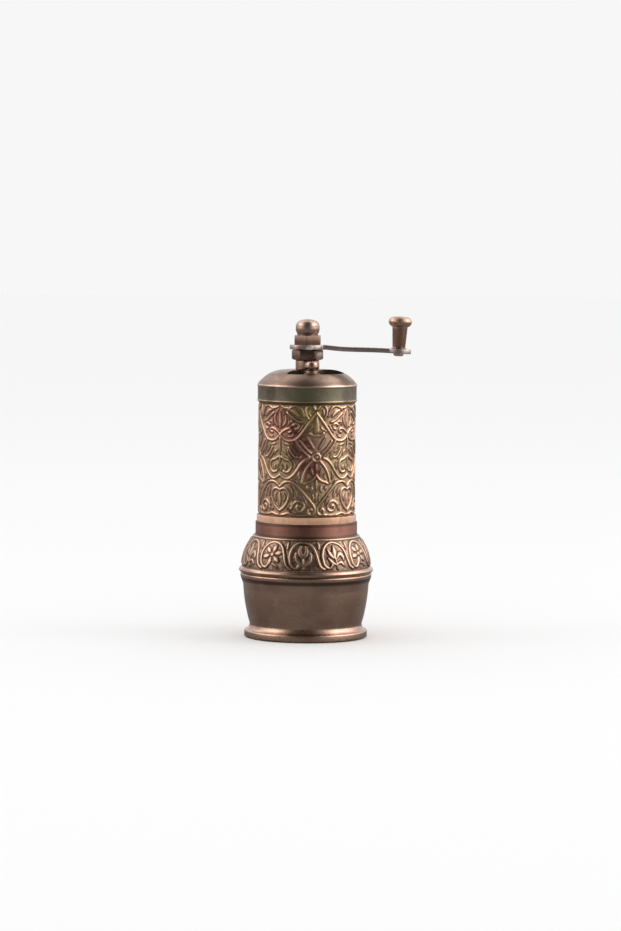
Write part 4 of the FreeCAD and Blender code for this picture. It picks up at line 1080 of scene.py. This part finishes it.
# Bush, arm and its nuts
bush_mesh = turned_mesh(smooth_outline(BUSH, edge=0.25), segments=96)
dressed(keep_mesh("bush_head", bush_mesh), fitting_finish, "fitting_brass", "mill_body", "axle_bush")
arm_nut = keep_mesh("nut_under_arm", hexagon_mesh(**ARM_NUT), sharp=40)
dressed(arm_nut, nut_finish, "fitting_brass", "crank", "arm_nut")
bent_arm = keep_mesh("bent_arm", arm_mesh(), sharp=40)
dressed(bent_arm, arm_finish, "crank_brass", "crank", "crank_arm")
cap = bmesh.new()
cap.from_mesh(hexagon_mesh(**CAP_NUT))
cap.from_mesh(turned_mesh(smooth_outline(FINIAL), segments=96))
cap_mesh = bpy.data.meshes.new("acorn_nut")
cap.to_mesh(cap_mesh)
cap.free()
acorn_nut = keep_mesh("acorn_nut", cap_mesh, sharp=40)
dressed(acorn_nut, cap_finish, "fitting_brass", "crank", "cap_nut")

# Handle knob and its rivet
for name, outline, finish, slot, body, node in (
        ("handle_knob", KNOB, knob_finish, "knob_brass", "knob", "knob"),
        ("handle_rivet", RIVET, rivet_finish, "fitting_brass", "crank", "knob_rivet")):
    mesh = turned_mesh(smooth_outline(outline, edge=0.2), segments=96)
    mesh.transform(knob_place())
    dressed(keep_mesh(name, mesh), finish, slot, body, node)

# Solids that stay as they are
for node, finish in {
        "hopper_plate": inner_shade_finish, "axle": steel_finish, "inner_burr": iron_finish,
        "ring_burr": iron_finish, "burr_clip": steel_finish, "lower_bridge": steel_finish,
        "bridge_screws": steel_finish, "adjust_screw": steel_finish, "lock_nut": steel_finish,
        "thrust_ball": steel_finish, "knob_washer": fitting_finish}.items():
    for place in nodes[node].material_slots:
        place.material = finish

# Floor, which reflections show darker than the eye does
FLOOR_REACH = 6.0
floor_mesh = bpy.data.meshes.new("floor")
floor_corners = [(x * FLOOR_REACH, y * FLOOR_REACH, 0) for x, y in ((-1, -1), (1, -1), (1, 1), (-1, 1))]
floor_mesh.from_pydata(floor_corners, [], [(0, 1, 2, 3)])
floor = placed("floor", floor_mesh)
floor_paint, floor_tree, floor_shader = finish_tree("floor_paint")
in_mirror = step_of(floor_tree, "ShaderNodeLightPath").outputs["Is Glossy Ray"]
floor_tint = blend(floor_tree, in_mirror, colour(0.935, 0.935, 0.935), colour(0.35, 0.35, 0.35))
floor_tree.links.new(floor_tint, floor_shader.inputs["Base Color"])
floor_shader.inputs["Roughness"].default_value = 0.6
floor_shader.inputs["Specular IOR Level"].default_value = 0.0
floor_mesh.materials.append(floor_paint)

# Room: its strength to the camera, on dull surfaces and, at its dimmest, in reflections.
# A bright side is an axis, where its light starts and is full, and its strength.
# A glow is the way to it and its strength.
BACKDROP = 0.93
ROOM_LIGHT = 0.985
ROOM_DIM = 0.08
BRIGHT_SIDES = (("X", -0.3, -0.9, 1.1), ("X", 0.3, 0.9, 2.3), ("Y", -0.1, 0.7, 1.15))
GLOWS = (((-0.88, -0.16, 0.47), 2.3), ((0.88, -0.16, 0.47), 2.9),
         ((-0.5, 0.34, 0.79), 1.7), ((0.54, 0.28, 0.79), 2.3))
GLOW_EDGE = 0.86
GLOW_CORE = 0.96
world = bpy.data.worlds.new("studio")
scene.world = world
world.use_nodes = True
sky = world.node_tree
facing = step_of(sky, "ShaderNodeTexCoord").outputs["Generated"]
direction = parted(sky, facing)
room = 0.0
for axis, start, full, brightness in BRIGHT_SIDES:
    room = calc(sky, "MAXIMUM", room, ramp(sky, direction[axis], start, full, 0.0, brightness))
room = calc(sky, "ADD", room, ROOM_DIM)
for towards, brightness in GLOWS:
    aim = step_of(sky, "ShaderNodeVectorMath", {0: facing, 1: Vector(towards).normalized()},
                  operation="DOT_PRODUCT").outputs["Value"]
    room = calc(sky, "ADD", room, ramp(sky, aim, GLOW_EDGE, GLOW_CORE, 0.0, brightness))
path = step_of(sky, "ShaderNodeLightPath").outputs
seen = calc(sky, "MAXIMUM", path["Is Camera Ray"], path["Is Transmission Ray"])
strength = mixed(sky, seen, mixed(sky, path["Is Glossy Ray"], ROOM_LIGHT, room), BACKDROP)
background = sky.nodes["Background"]
sky.links.new(strength, background.inputs["Strength"])
background.inputs["Color"].default_value = colour(1.0, 1.0, 1.0)

# Soft boxes to the left and right, aimed at the mill: places in metres and power in watts
LAMP_TARGET = Vector((0, 0, 0.06))
LAMP_SIDE = 0.45
for name, place, power in (("left_softbox", (-0.85, -0.12, 0.70), 0.7),
                           ("right_softbox", (0.85, -0.12, 0.70), 0.9)):
    lamp = bpy.data.lights.new(name, "AREA")
    lamp.shape = "SQUARE"
    lamp.size = LAMP_SIDE
    lamp.energy = power
    softbox = placed(name, lamp)
    softbox.location = place
    softbox.rotation_euler = (LAMP_TARGET - Vector(place)).to_track_quat("-Z", "Y").to_euler()

# Camera at the photograph's viewing angle: place in metres, pitch and roll in degrees
CAMERA_PLACE = (0.0007, -1.122, 0.136)
CAMERA_PITCH = 3.99
CAMERA_ROLL = -0.42
camera = bpy.data.cameras.new("camera")
camera.sensor_width = 36.0
camera.lens = 129.3
viewpoint = placed("camera", camera)
viewpoint.location = CAMERA_PLACE
viewpoint.rotation_euler = (math.radians(90 - CAMERA_PITCH), math.radians(CAMERA_ROLL), 0)
scene.camera = viewpoint
scene.view_settings.view_transform = "Standard"
